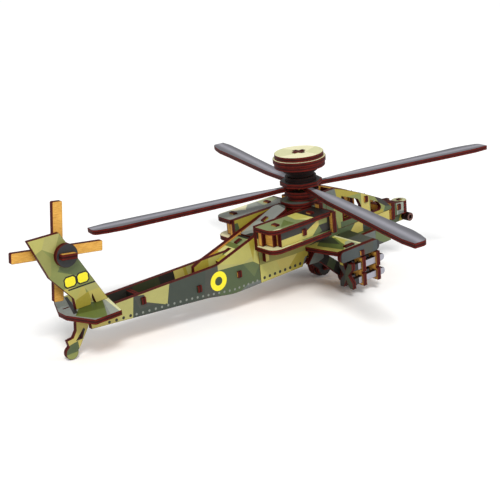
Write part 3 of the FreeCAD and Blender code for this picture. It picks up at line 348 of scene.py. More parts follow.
# ---------------------------------------------------------------- what is printed where
# The base tone of a node and its facets, outlines painted one over another. They lie in the
# aircraft plane that the sheet is nearest to: (X, Z) for side sheets, (X, Y) for level and
# sloping ones, (Y, Z) for cross ones. A node that isn't listed is plain sand.
FACETS = {
    "rear_side_panel_stbd": ("side_pale", [
        ("side_light", [(-79, 22), (-60, 17), (-50, 20), (-47, 32)]),
        ("side_ochre", [(-47, 33), (-54, 29.4), (-51.6, 16), (-47, 12)]),
        ("side_light", [(-51.6, 16), (-49.6, 27), (-47, 12)]),
        ("side_green", [
            (-79.5, 18.4), (-69, 17.6), (-52, 16), (-47, 12.5), (-47, -1), (-72, -1), (-80, 2),
        ]),
        ("side_fern", [(-60, 16.8), (-52, 16), (-47, 12.5), (-52, 6)]),
        ("side_slate", [(-118, 8), (-114.5, 22), (-79, 22), (-80, 2), (-100, -1)]),
        ("side_dusk", [(-88, 22), (-79, 22), (-80, 2), (-92, 0)]),
        ("side_slate", [
            (-141.5, 10), (-139.5, 22), (-132, 20.6), (-117, 9.6), (-112, 0), (-142, 4),
        ]),
        ("side_dusk", [(-139.5, 22), (-132, 20.6), (-121, 12.4), (-136, 13)]),
        ("side_pale", [(-132.4, 22), (-114.5, 22), (-118.8, 10.2), (-132, 16)]),
        ("side_sand", [(-168.6, 21), (-160, 21), (-150, 12), (-160, 8), (-168.6, 8)]),
        ("side_steel", [(-47, -1), (-47, 2.2), (-58, 2.6), (-66, -1)]),
    ]),
    "front_side_panel_stbd": ("side_sand", [
        ("side_light", [(-47, 16), (-36, 17), (-30, 3), (-47, -1)]),
        ("side_ochre", [(-15, 11), (-24, 3), (-20, -1), (-8, -1), (-2, 11)]),
        # Painted shadow: the dark olive band under the nacelle, and the olive patch over its rear, are the printed
        # band darkened by the nacelle's cast shadow.
        ("side_band_nacelle_shadow", [(-48, 12.0), (-48, 24), (13, 24), (13, 10.4), (-20, 10.4)]),
        ("side_olive", [(-48, 17), (-48, 24), (-20, 24), (-28, 14)]),
        ("side_steel", [(-13, -1), (-9.5, 6), (13, 8.4), (13, -1)]),
        ("side_night", [(-8, 12), (13, 16), (13, 7.6), (-6, 5)]),
        ("side_green", [(-47, 40), (13, 40), (13, 23), (-47, 23)]),
        ("side_slate", [(13, -1), (26, -1), (30, 9), (13, 9)]),
        ("side_pale", [(30, 9), (44, 9), (40, -1), (26, -1)]),
        ("side_green", [(13, 17), (38, 17), (30, 9), (13, 9)]),
        ("side_sand", [(38, 17), (71, 17), (71, 9), (44, 6), (30, 9)]),
        ("side_green", [(53, -1), (71, -1), (71, 9), (58, 8)]),
        ("side_slate", [(44, 17), (50, 17), (53, 6), (44, 4)]),
    ]),
    "canopy_frame_stbd": ("side_olive", [
        ("side_green", [(11, 15), (22, 15), (18, 32), (11, 36)]),
        ("side_steel", [(11, 36), (18, 32), (22, 36), (20, 45), (11, 45)]),
        ("side_ochre", [(20, 45), (22, 36), (44, 35), (46, 36), (28, 42)]),
        ("side_green", [(24, 15), (45, 15), (44, 22), (24, 20)]),
        ("side_sand", [(43.8, 15), (52, 15), (50, 40), (43.8, 40)]),
        ("side_night", [(48, 34), (50, 31), (54, 28), (60, 24), (65, 17), (74, 15), (64, 27)]),
        ("side_ochre", [(52, 15), (64, 15), (64, 18.4), (52, 18.4)]),
        ("side_green", [(64, 15), (74, 15), (74, 18), (66, 20)]),
    ]),
    "nacelle_top_stbd": ("meadow", [
        ("meadow", [(-49, -12), (-44, -11), (-36, -20), (-42, -26), (-47, -20)]),
        ("leaf", [(-35.4, -20), (-30, -15.6), (-26.3, -21.5), (-30.4, -26.4), (-41.5, -25.6)]),
        ("meadow", [(-30, -15.6), (-26.3, -21.5), (-30.4, -26.4), (-31, -20)]),
        ("ivory", [(-52, -14), (-50, -17), (-42, -26.6), (-30, -27.4), (-17, -28.6), (-52, -28.6)]),
        ("straw", [
            (-29.6, -11), (-29.8, -15.6), (-26.2, -21.6), (-31, -28.6), (-16.8, -28.6),
            (-16.8, -11),
        ]),
        ("sand", [(-24, -11), (-26.2, -21.6), (-16.8, -26), (-16.8, -11)]),
        ("soot", [(-16.8, -11), (-16.8, -29), (-1, -29), (-1, -11)]),
        ("moss", [(-16.8, -11), (-16.8, -14), (-8, -11)]),
    ]),
    "nacelle_top_port": ("storm", [
        ("stone", [(-51, 11), (-51, 29), (-39, 29), (-39, 20), (-46, 11)]),
        ("cream", [(-38.6, 29), (-36.4, 24), (-31, 20), (-22, 29)]),
        ("stone", [(-31, 20), (-21.6, 29), (-15, 29), (-20, 20)]),
        ("sage", [(-15, 29), (-1, 29), (-1, 22), (-18, 17)]),
        ("cream", [(-51, 27.4), (-1, 27.4), (-1, 28.6), (-51, 28.6)]),
    ]),
    "nacelle_bottom_stbd": ("meadow", [
        ("ivory", [(-51, -11), (-51, -29), (-36, -29), (-42, -11)]),
        ("straw", [(-42, -11), (-36, -29), (-26, -29), (-30, -11)]),
    ]),
    "nacelle_bottom_port": ("sage", [("cream", [(-51, 11), (-51, 29), (-38, 29), (-42, 11)])]),
    "nacelle_walls": ("side_sand", [
        ("side_light", [(-26, 30.4), (-14, 30.4), (-18, 25), (-30, 25)]),
        ("side_night", [(-51, 36), (-10, 36), (-22, 30.4), (-51, 30.4)]),
        ("side_olive", [(-11.5, 36), (-3.5, 36), (-3.5, 31.5), (-11.5, 31.0)]),
        ("side_night", [(-11.5, 31.4), (-2, 31.4), (-1, 25), (-16.5, 25)]),
        ("side_fern", [(-11.5, 31.4), (-17, 26.2), (-15, 25), (-9, 27)]),
        ("black", [(-4.4, 36), (-1, 36), (-1, 22), (-4.4, 22)]),
    ]),
    "rear_deck": ("straw", [
        ("meadow", [(-60.2, -7), (-60, 7), (-48, 7), (-48, -7)]),
        ("leaf", [(-60.2, -7), (-60, 7), (-56, 7), (-57, -7)]),
        ("straw", [(-55, -7), (-49, -3), (-48, -7)]),
        ("brass", [(-76, -7), (-76, 7), (-66, 7), (-68, -7)]),
        ("soot", [(-50.0, -7), (-50.0, 7), (-48, 7), (-48, -7)]),
    ]),
    "pylon_deck": ("storm", [
        ("soot", [(-50, -7), (-50, 4), (-44.5, -1), (-42, -7)]),
        ("ivory", [(-42, -7), (-41.4, -0.4), (-31, -7)]),
        ("stone", [(-47, 7), (-36, 7), (-30, -2), (-41, 0)]),
        ("lead", [(-19, -7), (-16, 7), (-13, 7), (-13, -7)]),
    ]),
    # Painted shade: the boom floor's moss stands for the shade inside the tail boom.
    "boom_floor": ("moss", [("straw", [(-151, -7), (-151, 7), (-146, 7), (-149, -7)])]),
    "belly_plate": ("meadow", [
        ("straw", [(-69, -10), (-69, 10), (-40, 10), (-52, -10)]),
        ("lead", [(-30, -10), (-22, 10), (10, 10), (10, -10)]),
        ("sand", [(-16, -10), (-12, 4), (4, -10)]),
    ]),
    # Painted shade: the frames inside the tail boom are printed moss and soot to stand for the shade inside it.
    "boom_frames": ("moss", [("soot", [(-8, 8), (8, 14), (8, 24), (-8, 24)])]),
    "deck_keel": ("side_ochre", [
        ("side_light", [(-80, 32), (-80, 10), (-74, 10), (-66, 32)]),
        ("side_green", [(-66, 32), (-74, 10), (-60, 10), (-48, 32)]),
    ]),
    "mast_deck": ("moss", [
        ("lead", [(-15, -12), (-15, 4), (-2, -12)]),
        ("meadow", [(2, 12), (13, 12), (13, -2)]),
    ]),
    "mast_base": ("moss", [("soot", [(-10, -2), (10, 4), (10, 10), (-10, 10)])]),
    "fin": ("side_olive", [
        ("side_light", [(-195, 70), (-183, 70), (-186.5, 62.4), (-191, 60.4)]),
        ("side_khaki", [(-191.4, 60.6), (-186.5, 62.4), (-182, 56), (-184, 44), (-190, 52)]),
        ("side_pale", [(-183, 70), (-174, 70), (-171, 60), (-180, 58), (-186.5, 62.4)]),
        ("side_khaki", [(-174, 70), (-168, 56), (-176, 55), (-179, 60)]),
        ("side_olive", [(-186, 46), (-179.6, 47.6), (-170, 38), (-182, 36)]),
        ("side_fern", [(-179.6, 47.6), (-176, 52), (-160, 52), (-158, 44), (-168, 42)]),
        ("side_sand", [(-181, 37.0), (-165, 35.4), (-163, 22), (-173, 22)]),
        ("side_light", [(-175, 35.4), (-166, 35.4), (-171.6, 28)]),
        ("side_ochre", [(-171.4, 28.4), (-163, 31), (-161, 22), (-173, 22)]),
        ("side_pale", [(-166, 35.4), (-157, 36), (-155, 31), (-163, 31)]),
        ("side_sand", [(-163, 31), (-155, 31), (-150, 23), (-161, 22)]),
    ]),
    "stabilizer": ("storm", [
        ("stone", [(-181, 24), (-168, 24), (-166, 12), (-176, 8)]),
        ("sand", [(-166, 24), (-149, 24), (-149, -1), (-160, -1), (-168, 8)]),
        ("brass", [(-158, 14), (-158, 24), (-149, 24), (-149, 2), (-153, 2)]),
        ("fern", [
            (-172, -3), (-168, 1), (-154, 1), (-159, -10), (-166, -24), (-172, -20), (-177, -9),
        ]),
        ("leaf", [(-174, -8), (-160, -12), (-166, -24), (-172, -20), (-177, -9)]),
        ("stone", [(-154, 1), (-149, 1), (-154, -24), (-164, -24), (-159, -12)]),
        ("ivory", [(-152.6, 3), (-149, 3), (-155, -24), (-157.6, -24)]),
        ("soot", [(-167, 20), (-165.2, 20), (-173.6, -6), (-176.4, -6)]),
    ]),
    "wing_stbd": ("sand", [
        ("leaf", [(-3, -14), (2, -33), (9, -27), (15, -12), (4, -9)]),
        ("moss", [(2, -9), (8, -24), (15, -9)]),
        ("sage", [(1, -35), (9, -27), (13, -23), (17, -23), (18, -35)]),
        ("ivory", [(16.4, -35), (16.4, -9), (18, -9), (18, -35)]),
        ("lead", [(18, -35), (18, -9), (32, -9), (32, -35)]),
        ("moss", [(18, -9), (18, -20), (32, -20), (32, -9)]),
    ]),
    "wing_port": ("meadow", [
        ("lead", [(-5, 9), (2, 34), (12, 34), (8, 9)]),
        ("straw", [(12, 34), (8, 20), (20, 9), (24, 34)]),
        ("leaf", [(24, 34), (20, 9), (32, 9), (32, 34)]),
    ]),
    "wing_end_plates": ("iron", [
        ("black", [(-4, 4), (-4, 13), (-2.6, 13), (-2.6, 4)]),
        ("coal", [(29.4, 4), (28.8, 13), (32, 13), (32, 4)]),
        ("side_dusk", [(16, 4), (18, 13), (26, 13), (24, 4)]),
    ]),
    "tail_strut": ("side_sand", [
        ("black", [(-175.4, 5.2), (-169.4, 11.4), (-168.6, 10.2), (-171, 5.2)]),
        ("side_green", [(-183, 3.4), (-174, 5), (-174, -1), (-183, -1)]),
        ("side_olive", [(-183, -1), (-174, -1), (-174, -6), (-183, -6)]),
    ]),
    "gear_legs": ("soot", [
        ("side_steel", [(-10, 8), (4, 8), (4, 2), (-2, 0), (-10, 1)]),
        ("side_green", [(10, 2), (16, -2), (12, -9), (6, -4)]),
    ]),
    "sponson_sides": ("side_dusk", [
        ("side_night", [(17, 10), (17, -2), (30, -2), (33, 10)]),
        ("side_steel", [(30, 10), (28, -2), (48, -2), (47, 10)]),
        ("side_fern", [(48, 10), (47, 3), (56, -2), (63, -2), (63, 10)]),
        ("side_green", [(54, 10), (63, 10), (63, 3)]),
    ]),
    "sponson_tops": ("moss", [
        ("soot", [(19, -15), (19, 15), (26, 15), (30, -15)]),
        ("side_green", [(36, -15), (36, 15), (46, 15), (42, -15)]),
    ]),
    "sponson_floor": ("moss", [("lead", [(18, -18), (24, 18), (36, 18), (32, -18)])]),
    # Painted shade: the pylons are printed soot, with a lead patch, to stand for the dark shade under the wing.
    "rack_pylons": ("soot", [("lead", [(0, 2), (12, 12), (12, -16), (0, -16)])]),
    "rack_frames": ("soot", [
        ("moss", [(-40, 5), (-32, 5), (-28, -16), (-36, -16)]),
        ("brass", [(-31, 5), (-24, 5), (-26, 0), (-30, 0)]),
    ]),
    "nose_cheeks": ("side_mist", [
        ("side_green", [(75, 8), (79, 8), (78, 20), (75, 20)]),
        ("side_steel", [(79, 8), (87, 8), (87, 11), (80, 12)]),
    ]),
    "canopy_roof": ("sand", [("leaf", [(12, -8), (28, 8), (34, -8)])]),
    "cockpit_floor": ("moss", [("straw", [(40, -10), (52, 10), (64, -10)])]),
    "nose_keel": ("side_ochre", [("side_green", [(72, 0), (78, 9), (90, 9), (86, 0)])]),
    "hub_plates": ("black", [("coal", [(-14, -2), (14, 6), (14, 14), (-14, 14)])]),
    "radar_dome": ("ivory", [
        ("cream", [(-18, -18), (-18, 2), (2, -4), (2, -18)]),
        ("cream", [(2, -4), (0, 18), (18, 18), (18, 2)]),
    ]),
    "tail_caps": ("coal", []),
    "dome_spindle": ("black", []),
    "turret_drum": ("ivory", [("meadow", [(84, -6), (84, 6), (90, -6)])]),
    "sensor_discs": ("umber", []),
    "wheel_stbd": ("soot", []),
    "missiles_stbd": ("shell", [("coal", [(7, -20), (7, 4), (12, 4), (12, -20)])]),
}

# The inward faces that carry print too. Inside the tail boom the port panel's dark moss, night and soot facets are
# partly print and partly painted shade.
INNER_FACETS = {
    "rear_side_panel_port": ("gold", [
        ("moss", [(-169, 22), (-104, 22), (-104, -1), (-169, -1)]),
        ("side_night", [(-146, 22), (-130, 22), (-134, -1), (-150, -1)]),
        ("soot", [(-112, 22), (-101, 22), (-98, -1), (-108, -1)]),
        ("side_sand", [(-101, 22), (-79, 22), (-76, -1), (-98, -1)]),
        ("side_ochre", [(-94, 22), (-79, 22), (-70, 16), (-72, -1), (-90, -1)]),
        ("side_pale", [(-92, 22), (-86, 22), (-90, 14)]),
    ]),
    "nacelle_walls": ("side_ochre", [("side_green", [(-51, 36), (-47, 36), (-44, 25), (-51, 25)])]),
}
BARE = {
    "axle_pin_port", "axle_pin_stbd", "body_frames", "cockpit_frames", "nacelle_ribs",
    "nose_bulkhead", "nose_frames", "rotor_shaft", "tail_key", "tail_rotor", "wing_ribs",
}
# The boom frames are among these so that the painted shade inside the boom shows from both sides.
BOTH_SIDES_PRINTED = {
    "boom_frames", "deck_keel", "fin", "gear_legs", "missiles_port", "missiles_stbd",
    "nose_keel", "tail_strut", "wheel_port", "wheel_stbd",
}
DARK_EDGED = {"dome_spindle", "missiles_port", "missiles_stbd", "sensor_discs"}
BARE_RACK_ALONG = 10.0      # rack frames further forward than this are bare
BLADES = ("rotor_blade_a", "rotor_blade_b", "rotor_blade_c", "rotor_blade_d")
BLADE_ANGLE = -16.46        # degrees from the nose to blade a; the others follow clockwise
# Grey steps across each blade that together make its painted highlight.
BLADE_HIGHLIGHT_STEPS = 24
HIGHLIGHT_STEP_WIDTH = 0.6
HIGHLIGHT_STEP_OVERLAP = 0.02


def regular(x, y, radius, corners=12):
    """Outline of a round spot."""
    turns = [math.tau * (n + 0.5) / corners for n in range(corners)]
    return [(x + radius * math.cos(t), y + radius * math.sin(t)) for t in turns]


def ring_mark(x, y, radius):
    """Plain target: a bright ring round a dark green middle."""
    return [("mark", regular(x, y, radius, 32)), ("mark_core", regular(x, y, radius * 0.45, 24))]


def rounded_bar(x, y, width, height, corner):
    right, top = x + width, y + height
    return [
        (x + corner, y), (right - corner, y), (right, y + corner), (right, top - corner),
        (right - corner, top), (x + corner, top), (x, top - corner), (x, y + corner),
    ]


def fin_marks():
    """Two plain outlined bars over a dark stripe."""
    marks = []
    for x in (-177.0, -169.0):
        marks.append(("black", rounded_bar(x, 36.4, 8.0, 6.9, 1.5)))
        marks.append(("mark", rounded_bar(x + 0.8, 37.2, 6.4, 5.3, 1.1)))
    marks.append(("black", [(-174.8, 34.9), (-157.0, 34.9), (-157.4, 35.8), (-175.2, 35.8)]))
    return marks


def rivet_row(first, last, count, radius, tone):
    """Evenly spaced round spots from first to last."""
    spots = [Vector(first).lerp(Vector(last), n / (count - 1)) for n in range(count)]
    return [(tone, regular(spot.x, spot.y, radius)) for spot in spots]


def blade_facets(angle):
    """Painted highlight along a blade that lies at this angle to the nose: soft grey steps that brighten into a streak
    of reflected light, darker at its root.
    """
    along = Vector((math.cos(angle), math.sin(angle)))
    across = Vector((-along.y, along.x))

    def strip(low, high, end):
        corners = ((-2.0, low), (end, low), (end, high), (-2.0, high))
        return [tuple(along * far + across * side) for far, side in corners]

    facets = []
    for stripe in range(BLADE_HIGHLIGHT_STEPS):
        side = HIGHLIGHT_STEP_WIDTH * (stripe - BLADE_HIGHLIGHT_STEPS / 2)
        # Painted highlight: the steps are lightest near a line just off the blade's middle, standing for lamp light
        # reflected along the blade.
        painted_highlight = math.exp(-((side - 0.8) / 2.6) ** 2)
        level = 94 + 50 * painted_highlight
        tone = f"blade_{stripe:02d}"
        TONES[tone] = (level, level * 0.99, level * 1.05)
        facets.append((tone, strip(side, side + HIGHLIGHT_STEP_WIDTH + HIGHLIGHT_STEP_OVERLAP, 150.0)))
    facets.append(("blade_root", strip(-14.0, 14.0, 18.0)))
    return "blade_dark", facets


FACETS["rear_side_panel_stbd"][1].extend(
    ring_mark(-79.4, 11.8, 6.1)
    + rivet_row((-157, 12.3), (-143, 11.4), 4, 0.95, "dot")
    + rivet_row((-139, 10.9), (-104, 7.9), 9, 0.75, "rivet")
    + rivet_row((-100, 7.4), (-72, 3.2), 8, 0.75, "rivet")
    + rivet_row((-68, 2.8), (-50, 2.6), 6, 0.75, "rivet")
)
FACETS["front_side_panel_stbd"][1].extend(rivet_row((-44, 2.7), (-14, 2.7), 8, 1.05, "dot"))
FACETS["fin"][1].extend(fin_marks())
for pair in ("rear_side_panel", "front_side_panel", "canopy_frame", "wheel", "missiles"):
    FACETS[pair + "_port"] = FACETS[pair + "_stbd"]
for turn, blade in enumerate(BLADES):
    FACETS[blade] = blade_facets(math.radians(BLADE_ANGLE - 90.0 * turn))


# ---------------------------------------------------------------- reading a CAD sheet
SAME_WAY = 0.9995           # cosine above which two directions count as one
KEYS_PER_MM = 500.0         # corners that round to the same key are one corner


def triangles_of(node):
    """(corners, unit normal, area) of a node's triangles, in aircraft millimetres."""
    mesh = frame["nodes"][node].data
    mesh.calc_loop_triangles()
    points = [to_aircraft(v.co) for v in mesh.vertices]
    found = []
    for triangle in mesh.loop_triangles:
        corners = [points[i] for i in triangle.vertices]
        normal = (corners[1] - corners[0]).cross(corners[2] - corners[0])
        if normal.length > 1e-9:
            found.append((corners, normal.normalized(), normal.length * 0.5))
    return found


def main_normals(triangles, how_many):
    """The directions with most area, opposite ones counted together."""
    totals = []
    for _, normal, area in triangles:
        for entry in totals:
            if abs(entry[0].dot(normal)) > SAME_WAY:
                entry[1] += area
                break
        else:
            totals.append([normal.copy(), area])
    totals.sort(key=lambda entry: -entry[1])
    return [entry[0] for entry in totals[:how_many]]


def corner_key(point):
    return tuple(round(value * KEYS_PER_MM) for value in point)


def flat_faces(triangles, normal):
    """Connected groups of triangles that face along the normal."""
    facing = [t for t in triangles if t[1].dot(normal) > SAME_WAY]
    owner = {}

    def root(key):
        while owner[key] != key:
            owner[key] = owner[owner[key]]
            key = owner[key]
        return key

    for corners, _, _ in facing:
        keys = [corner_key(c) for c in corners]
        for key in keys:
            owner.setdefault(key, key)
        for key in keys[1:]:
            owner[root(key)] = root(keys[0])
    groups = {}
    for triangle in facing:
        groups.setdefault(root(corner_key(triangle[0][0])), []).append(triangle)
    return [groups[key] for key in sorted(groups)]


def loops_of(face):
    """Closed outlines round a flat face, outer ones anticlockwise about its normal."""
    places, edges = {}, set()
    for corners, _, _ in face:
        keys = [corner_key(c) for c in corners]
        places.update(zip(keys, corners))
        edges.update(zip(keys, keys[1:] + keys[:1]))
    ahead = {}
    for first, second in sorted(edges):
        if (second, first) not in edges:
            ahead.setdefault(first, []).append(second)
    loops = []
    while ahead:
        start = key = min(ahead)
        loop = []
        while key in ahead:
            loop.append(places[key])
            following = ahead[key].pop()
            if not ahead[key]:
                del ahead[key]
            key = following
            if key == start:
                break
        if len(loop) > 2:
            loops.append(loop)
    return loops


def thickness_below(face, triangles, normal):
    """Distance along the normal to the sheet's other face."""
    spot = face[0][0][0]
    drops = []
    for corners, _, _ in triangles:
        for corner in corners:
            drop = (spot - corner).dot(normal)
            if drop > 0.5 and (spot - corner - normal * drop).length < 0.01:
                drops.append(drop)
    return min(drops, default=math.inf)


# ---------------------------------------------------------------- flat geometry
def around(loop):
    """The number of each corner with the number of the next one."""
    return [(here, (here + 1) % len(loop)) for here in range(len(loop))]


def cleaned(loop):
    """The loop without repeated points and points in the middle of a straight edge."""
    kept = []
    for here, ahead in around(loop):
        into, away = loop[here] - loop[here - 1], loop[ahead] - loop[here]
        if into.length < 1e-3:
            continue
        bend = abs(into.normalized().cross(away.normalized()))
        if away.length > 1e-3 and bend < 1e-4 and into.dot(away) > 0:
            continue
        kept.append(loop[here])
    return kept


def inset(loop, distance):
    """The loop moved to its left by distance, which is inwards for outer loops."""
    moved = []
    for here, ahead in around(loop):
        into = (loop[here] - loop[here - 1]).normalized()
        away = (loop[ahead] - loop[here]).normalized()
        left = Vector((-into.y, into.x))
        middle = left + Vector((-away.y, away.x))
        if middle.length < 1e-6:
            moved.append(loop[here] + left * distance)
            continue
        middle.normalize()
        # The floor keeps a very sharp corner from shooting far inwards.
        moved.append(loop[here] + middle * (distance / max(middle.dot(left), 0.45)))
    return moved


def tessellated(loops):
    """Triangles over the area between the loops, as lists of 2-D points."""
    flat = [point for loop in loops for point in loop]
    found = []
    for triple in tessellate_polygon([[p.to_3d() for p in loop] for loop in loops]):
        corners = [flat[i] for i in triple]
        turn = (corners[1] - corners[0]).cross(corners[2] - corners[0])
        if abs(turn) > 1e-9:
            found.append(corners if turn > 0 else corners[::-1])
    return found


def cut(piece, start, end):
    """The parts of a convex piece on the left and on the right of the line start-end."""
    near_line = 1e-7
    way = end - start
    sides = [way.cross(point - start) for point in piece]
    left, right = [], []
    for here, ahead in around(piece):
        if sides[here] >= -near_line:
            left.append(piece[here])
        if sides[here] <= near_line:
            right.append(piece[here])
        lower, upper = sorted((sides[here], sides[ahead]))
        if lower < -near_line and upper > near_line:
            share = sides[here] / (sides[here] - sides[ahead])
            crossing = piece[here].lerp(piece[ahead], share)
            left.append(crossing)
            right.append(crossing)
    return left, right


def area_of(piece):
    """Area inside an outline, positive when it runs anticlockwise."""
    return 0.5 * sum(piece[i - 1].cross(piece[i]) for i in range(len(piece)))


def has_area(piece):
    return len(piece) > 2 and abs(area_of(piece)) > 1e-6


def apart(piece, other):
    """Whether the boxes round two outlines miss each other."""
    for axis in range(2):
        one, two = [p[axis] for p in piece], [p[axis] for p in other]
        if max(one) < min(two) or min(one) > max(two):
            return True
    return False


def painted(pieces, base, facets):
    """(tone, convex piece) pairs after painting each facet over what is below it.

    A facet covers what lies inside all of its edges, so an outline's dents stay unpainted.
    """
    current = [(base, piece) for piece in pieces]
    for tone, outline in facets:
        corners = outline if area_of(outline) > 0 else outline[::-1]
        following = []
        for old, piece in current:
            inside, outside = piece, []
            if not apart(piece, corners):
                for here, ahead in around(corners):
                    inside, away = cut(inside, corners[here], corners[ahead])
                    if has_area(away):
                        outside.append((old, away))
                    if len(inside) < 3:
                        break
                if has_area(inside):
                    following.extend(outside)
                    following.append((tone, inside))
                    continue
            following.append((old, piece))
        current = following
    return current


# ---------------------------------------------------------------- building a sheet
class Sheet:
    """One flat piece of ply, with its outlines in its own plane."""

    def __init__(self, face, triangles, normal):
        self.normal = normal
        loops = loops_of(face)
        self.origin = loops[0][0].copy()
        longest = Vector((0.0, 0.0, 0.0))
        for loop in loops:
            for index, point in enumerate(loop):
                step = point - loop[index - 1]
                if step.length > longest.length + 0.01:
                    longest = step
        self.along = longest.normalized()
        self.across = self.normal.cross(self.along)
        self.thickness = thickness_below(face, triangles, normal)
        flat = [cleaned([self.flatten(p) for p in loop]) for loop in loops]
        flat = [loop for loop in flat if len(loop) > 2]
        self.loops = sorted(flat, key=lambda loop: -area_of(loop))
        corners = [p for triangle in face for p in triangle[0]]
        self.middle = sum(corners, Vector()) / len(corners)

    def flatten(self, point):
        away = point - self.origin
        return Vector((away.dot(self.along), away.dot(self.across)))

    def raised(self, places, depths):
        """Aircraft points at these places on the sheet and depths below its face."""
        return [self.origin + self.along * place.x + self.across * place.y - self.normal * depth
                for place, depth in zip(places, depths)]

    def facing(self):
        """Which aircraft axis the sheet faces along, most nearly."""
        sizes = [abs(value) for value in self.normal]
        return sizes.index(max(sizes))

    def map_facets(self, facets):
        """Facet outlines moved from aircraft coordinates into the sheet's own plane."""
        axis = self.facing()
        kept = [i for i in range(3) if i != axis]
        moved = []
        for tone, outline in facets:
            corners = []
            for corner in outline:
                spot = Vector((0.0, 0.0, 0.0))
                spot[kept[0]], spot[kept[1]] = corner
                spot[axis] = (self.origin - spot).dot(self.normal) / self.normal[axis]
                corners.append(self.flatten(spot))
            moved.append((tone, corners))
        return moved


def placed(name, data):
    """A new object with this data, in the scene."""
    holder = bpy.data.objects.new(name, data)
    bpy.context.scene.collection.objects.link(holder)
    return holder


class Builder:
    """Collects the faces of a piece and makes its mesh."""

    def __init__(self):
        self.points, self.faces, self.slots, self.tones = [], [], [], []
        self.rims, self.depths, self.places = [], [], []

    def add(self, corners, places, slot, tone=EDGE_TONE, rims=None, depths=None):
        """A face with its places on the UV map, its browning and its depths in the ply, 0 to 1."""
        first = len(self.points)
        blank = [0.0] * len(corners)
        self.points.extend(corners)
        self.faces.append(tuple(range(first, len(self.points))))
        self.slots.append(slot)
        self.tones.append(tone)
        self.rims.extend(rims or blank)
        self.depths.extend(depths or blank)
        self.places.extend(place * CENTIMETRES for place in places)

    def finish(self, name, materials):
        mesh = bpy.data.meshes.new(name)
        mesh.from_pydata([to_world(p) for p in self.points], [], self.faces)
        for material in materials:
            mesh.materials.append(material)
        mesh.uv_layers.new(name="sheet")
        mesh.color_attributes.new("tone", "FLOAT_COLOR", "CORNER")
        mesh.attributes.new("rim", "FLOAT", "CORNER")
        mesh.attributes.new("depth", "FLOAT", "CORNER")
        # They are fetched only now, because making one moves the others in memory.
        tone, rim, depth = (mesh.attributes[key] for key in ("tone", "rim", "depth"))
        place = mesh.uv_layers["sheet"]
        for face, slot, colour in zip(mesh.polygons, self.slots, self.tones):
            face.material_index = slot
            face.use_smooth = True
            for corner in face.loop_indices:
                tone.data[corner].color = colour
                rim.data[corner].value = self.rims[corner]
                depth.data[corner].value = self.depths[corner]
                place.data[corner].uv = self.places[corner]
        work = bmesh.new()
        work.from_mesh(mesh)
        bmesh.ops.remove_doubles(work, verts=work.verts, dist=1.5e-6)
        work.to_mesh(mesh)
        work.free()
        mesh.set_sharp_from_angle(angle=math.radians(32.0))
        mesh.update()
        return placed(name, mesh)


def face_side(builder, sheet, up, printed, base, facets):
    """One flat side of a sheet with its broken edge; up is the side along the normal."""
    depth = 0.0 if up else sheet.thickness
    broken = EDGE_BREAK if up else sheet.thickness - EDGE_BREAK
    order = 1 if up else -1
    inner = [inset(loop, EDGE_BREAK) for loop in sheet.loops]
    for loop, near in zip(sheet.loops, inner):
        for here, ahead in around(loop):
            ring = [loop[here], loop[ahead], near[ahead], near[here]]
            corners = sheet.raised(ring, [broken, broken, depth, depth])
            layers = [broken / sheet.thickness] * 4
            builder.add(corners[::order], ring[::order], EDGE_SLOT, depths=layers)
    if printed:
        for tone, piece in painted(tessellated(inner), base, sheet.map_facets(facets)):
            corners = sheet.raised(piece, [depth] * len(piece))
            builder.add(corners[::order], piece[::order], PRINT_SLOT, linear(TONES[tone]))
        return
    for piece in tessellated(smoke_ring(builder, sheet, inner, depth, order)):
        corners = sheet.raised(piece, [depth] * len(piece))
        builder.add(corners[::order], piece[::order], RAW_SLOT)


def smoke_ring(builder, sheet, loops, depth, order):
    """A browned band inside each outline of a bare face; gives the loops within it."""
    inside = [inset(loop, SMOKE_WIDTH) for loop in loops]
    for loop, near in zip(loops, inside):
        for here, ahead in around(loop):
            if (loop[ahead] - loop[here]).dot(near[ahead] - near[here]) <= 0:
                return loops
    for loop, near in zip(loops, inside):
        for here, ahead in around(loop):
            band = [loop[here], loop[ahead], near[ahead], near[here]]
            corners = sheet.raised(band, [depth] * 4)
            rims = [1.0, 1.0, 0.0, 0.0]
            builder.add(corners[::order], band[::order], RAW_SLOT, rims=rims[::order])
    return inside


def cut_edge(builder, sheet):
    """The wall between the two faces, unrolled on the UV map."""
    thickness = sheet.thickness
    levels = [EDGE_BREAK, EDGE_BREAK, thickness - EDGE_BREAK, thickness - EDGE_BREAK]
    layers = [level / thickness for level in levels]
    for loop in sheet.loops:
        run = 0.0
        for here, ahead in around(loop):
            end = run + (loop[ahead] - loop[here]).length
            wall = sheet.raised([loop[ahead], loop[here], loop[here], loop[ahead]], levels)
            places = [(end, 0.0), (run, 0.0), (run, thickness), (end, thickness)]
            builder.add(wall, [Vector(place) for place in places], EDGE_SLOT, depths=layers)
            run = end


def printed_faces(node, sheet):
    """Whether the side along the normal and the side away from it carry print."""
    if node in BARE or (node == "rack_frames" and sheet.middle.x > BARE_RACK_ALONG):
        return False, False
    if node in BOTH_SIDES_PRINTED:
        return True, True
    axis = sheet.facing()
    if node == "tail_caps":
        shown = -sheet.normal.y                     # to starboard
    elif axis == 0:
        shown = -sheet.normal.x                     # rearwards
    elif axis == 1:
        shown = sheet.normal.y * sheet.middle.y     # away from the middle
    else:
        shown = sheet.normal.z                      # upwards
    return shown > 0, shown < 0


def slot_of(node):
    if node in BLADES:
        return "blade_ply"
    if node in BARE:
        return "raw_ply"
    return "dark_ply" if node in DARK_EDGED else "camo_ply"


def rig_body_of(node):
    return frame["nodes"][node]["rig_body"]


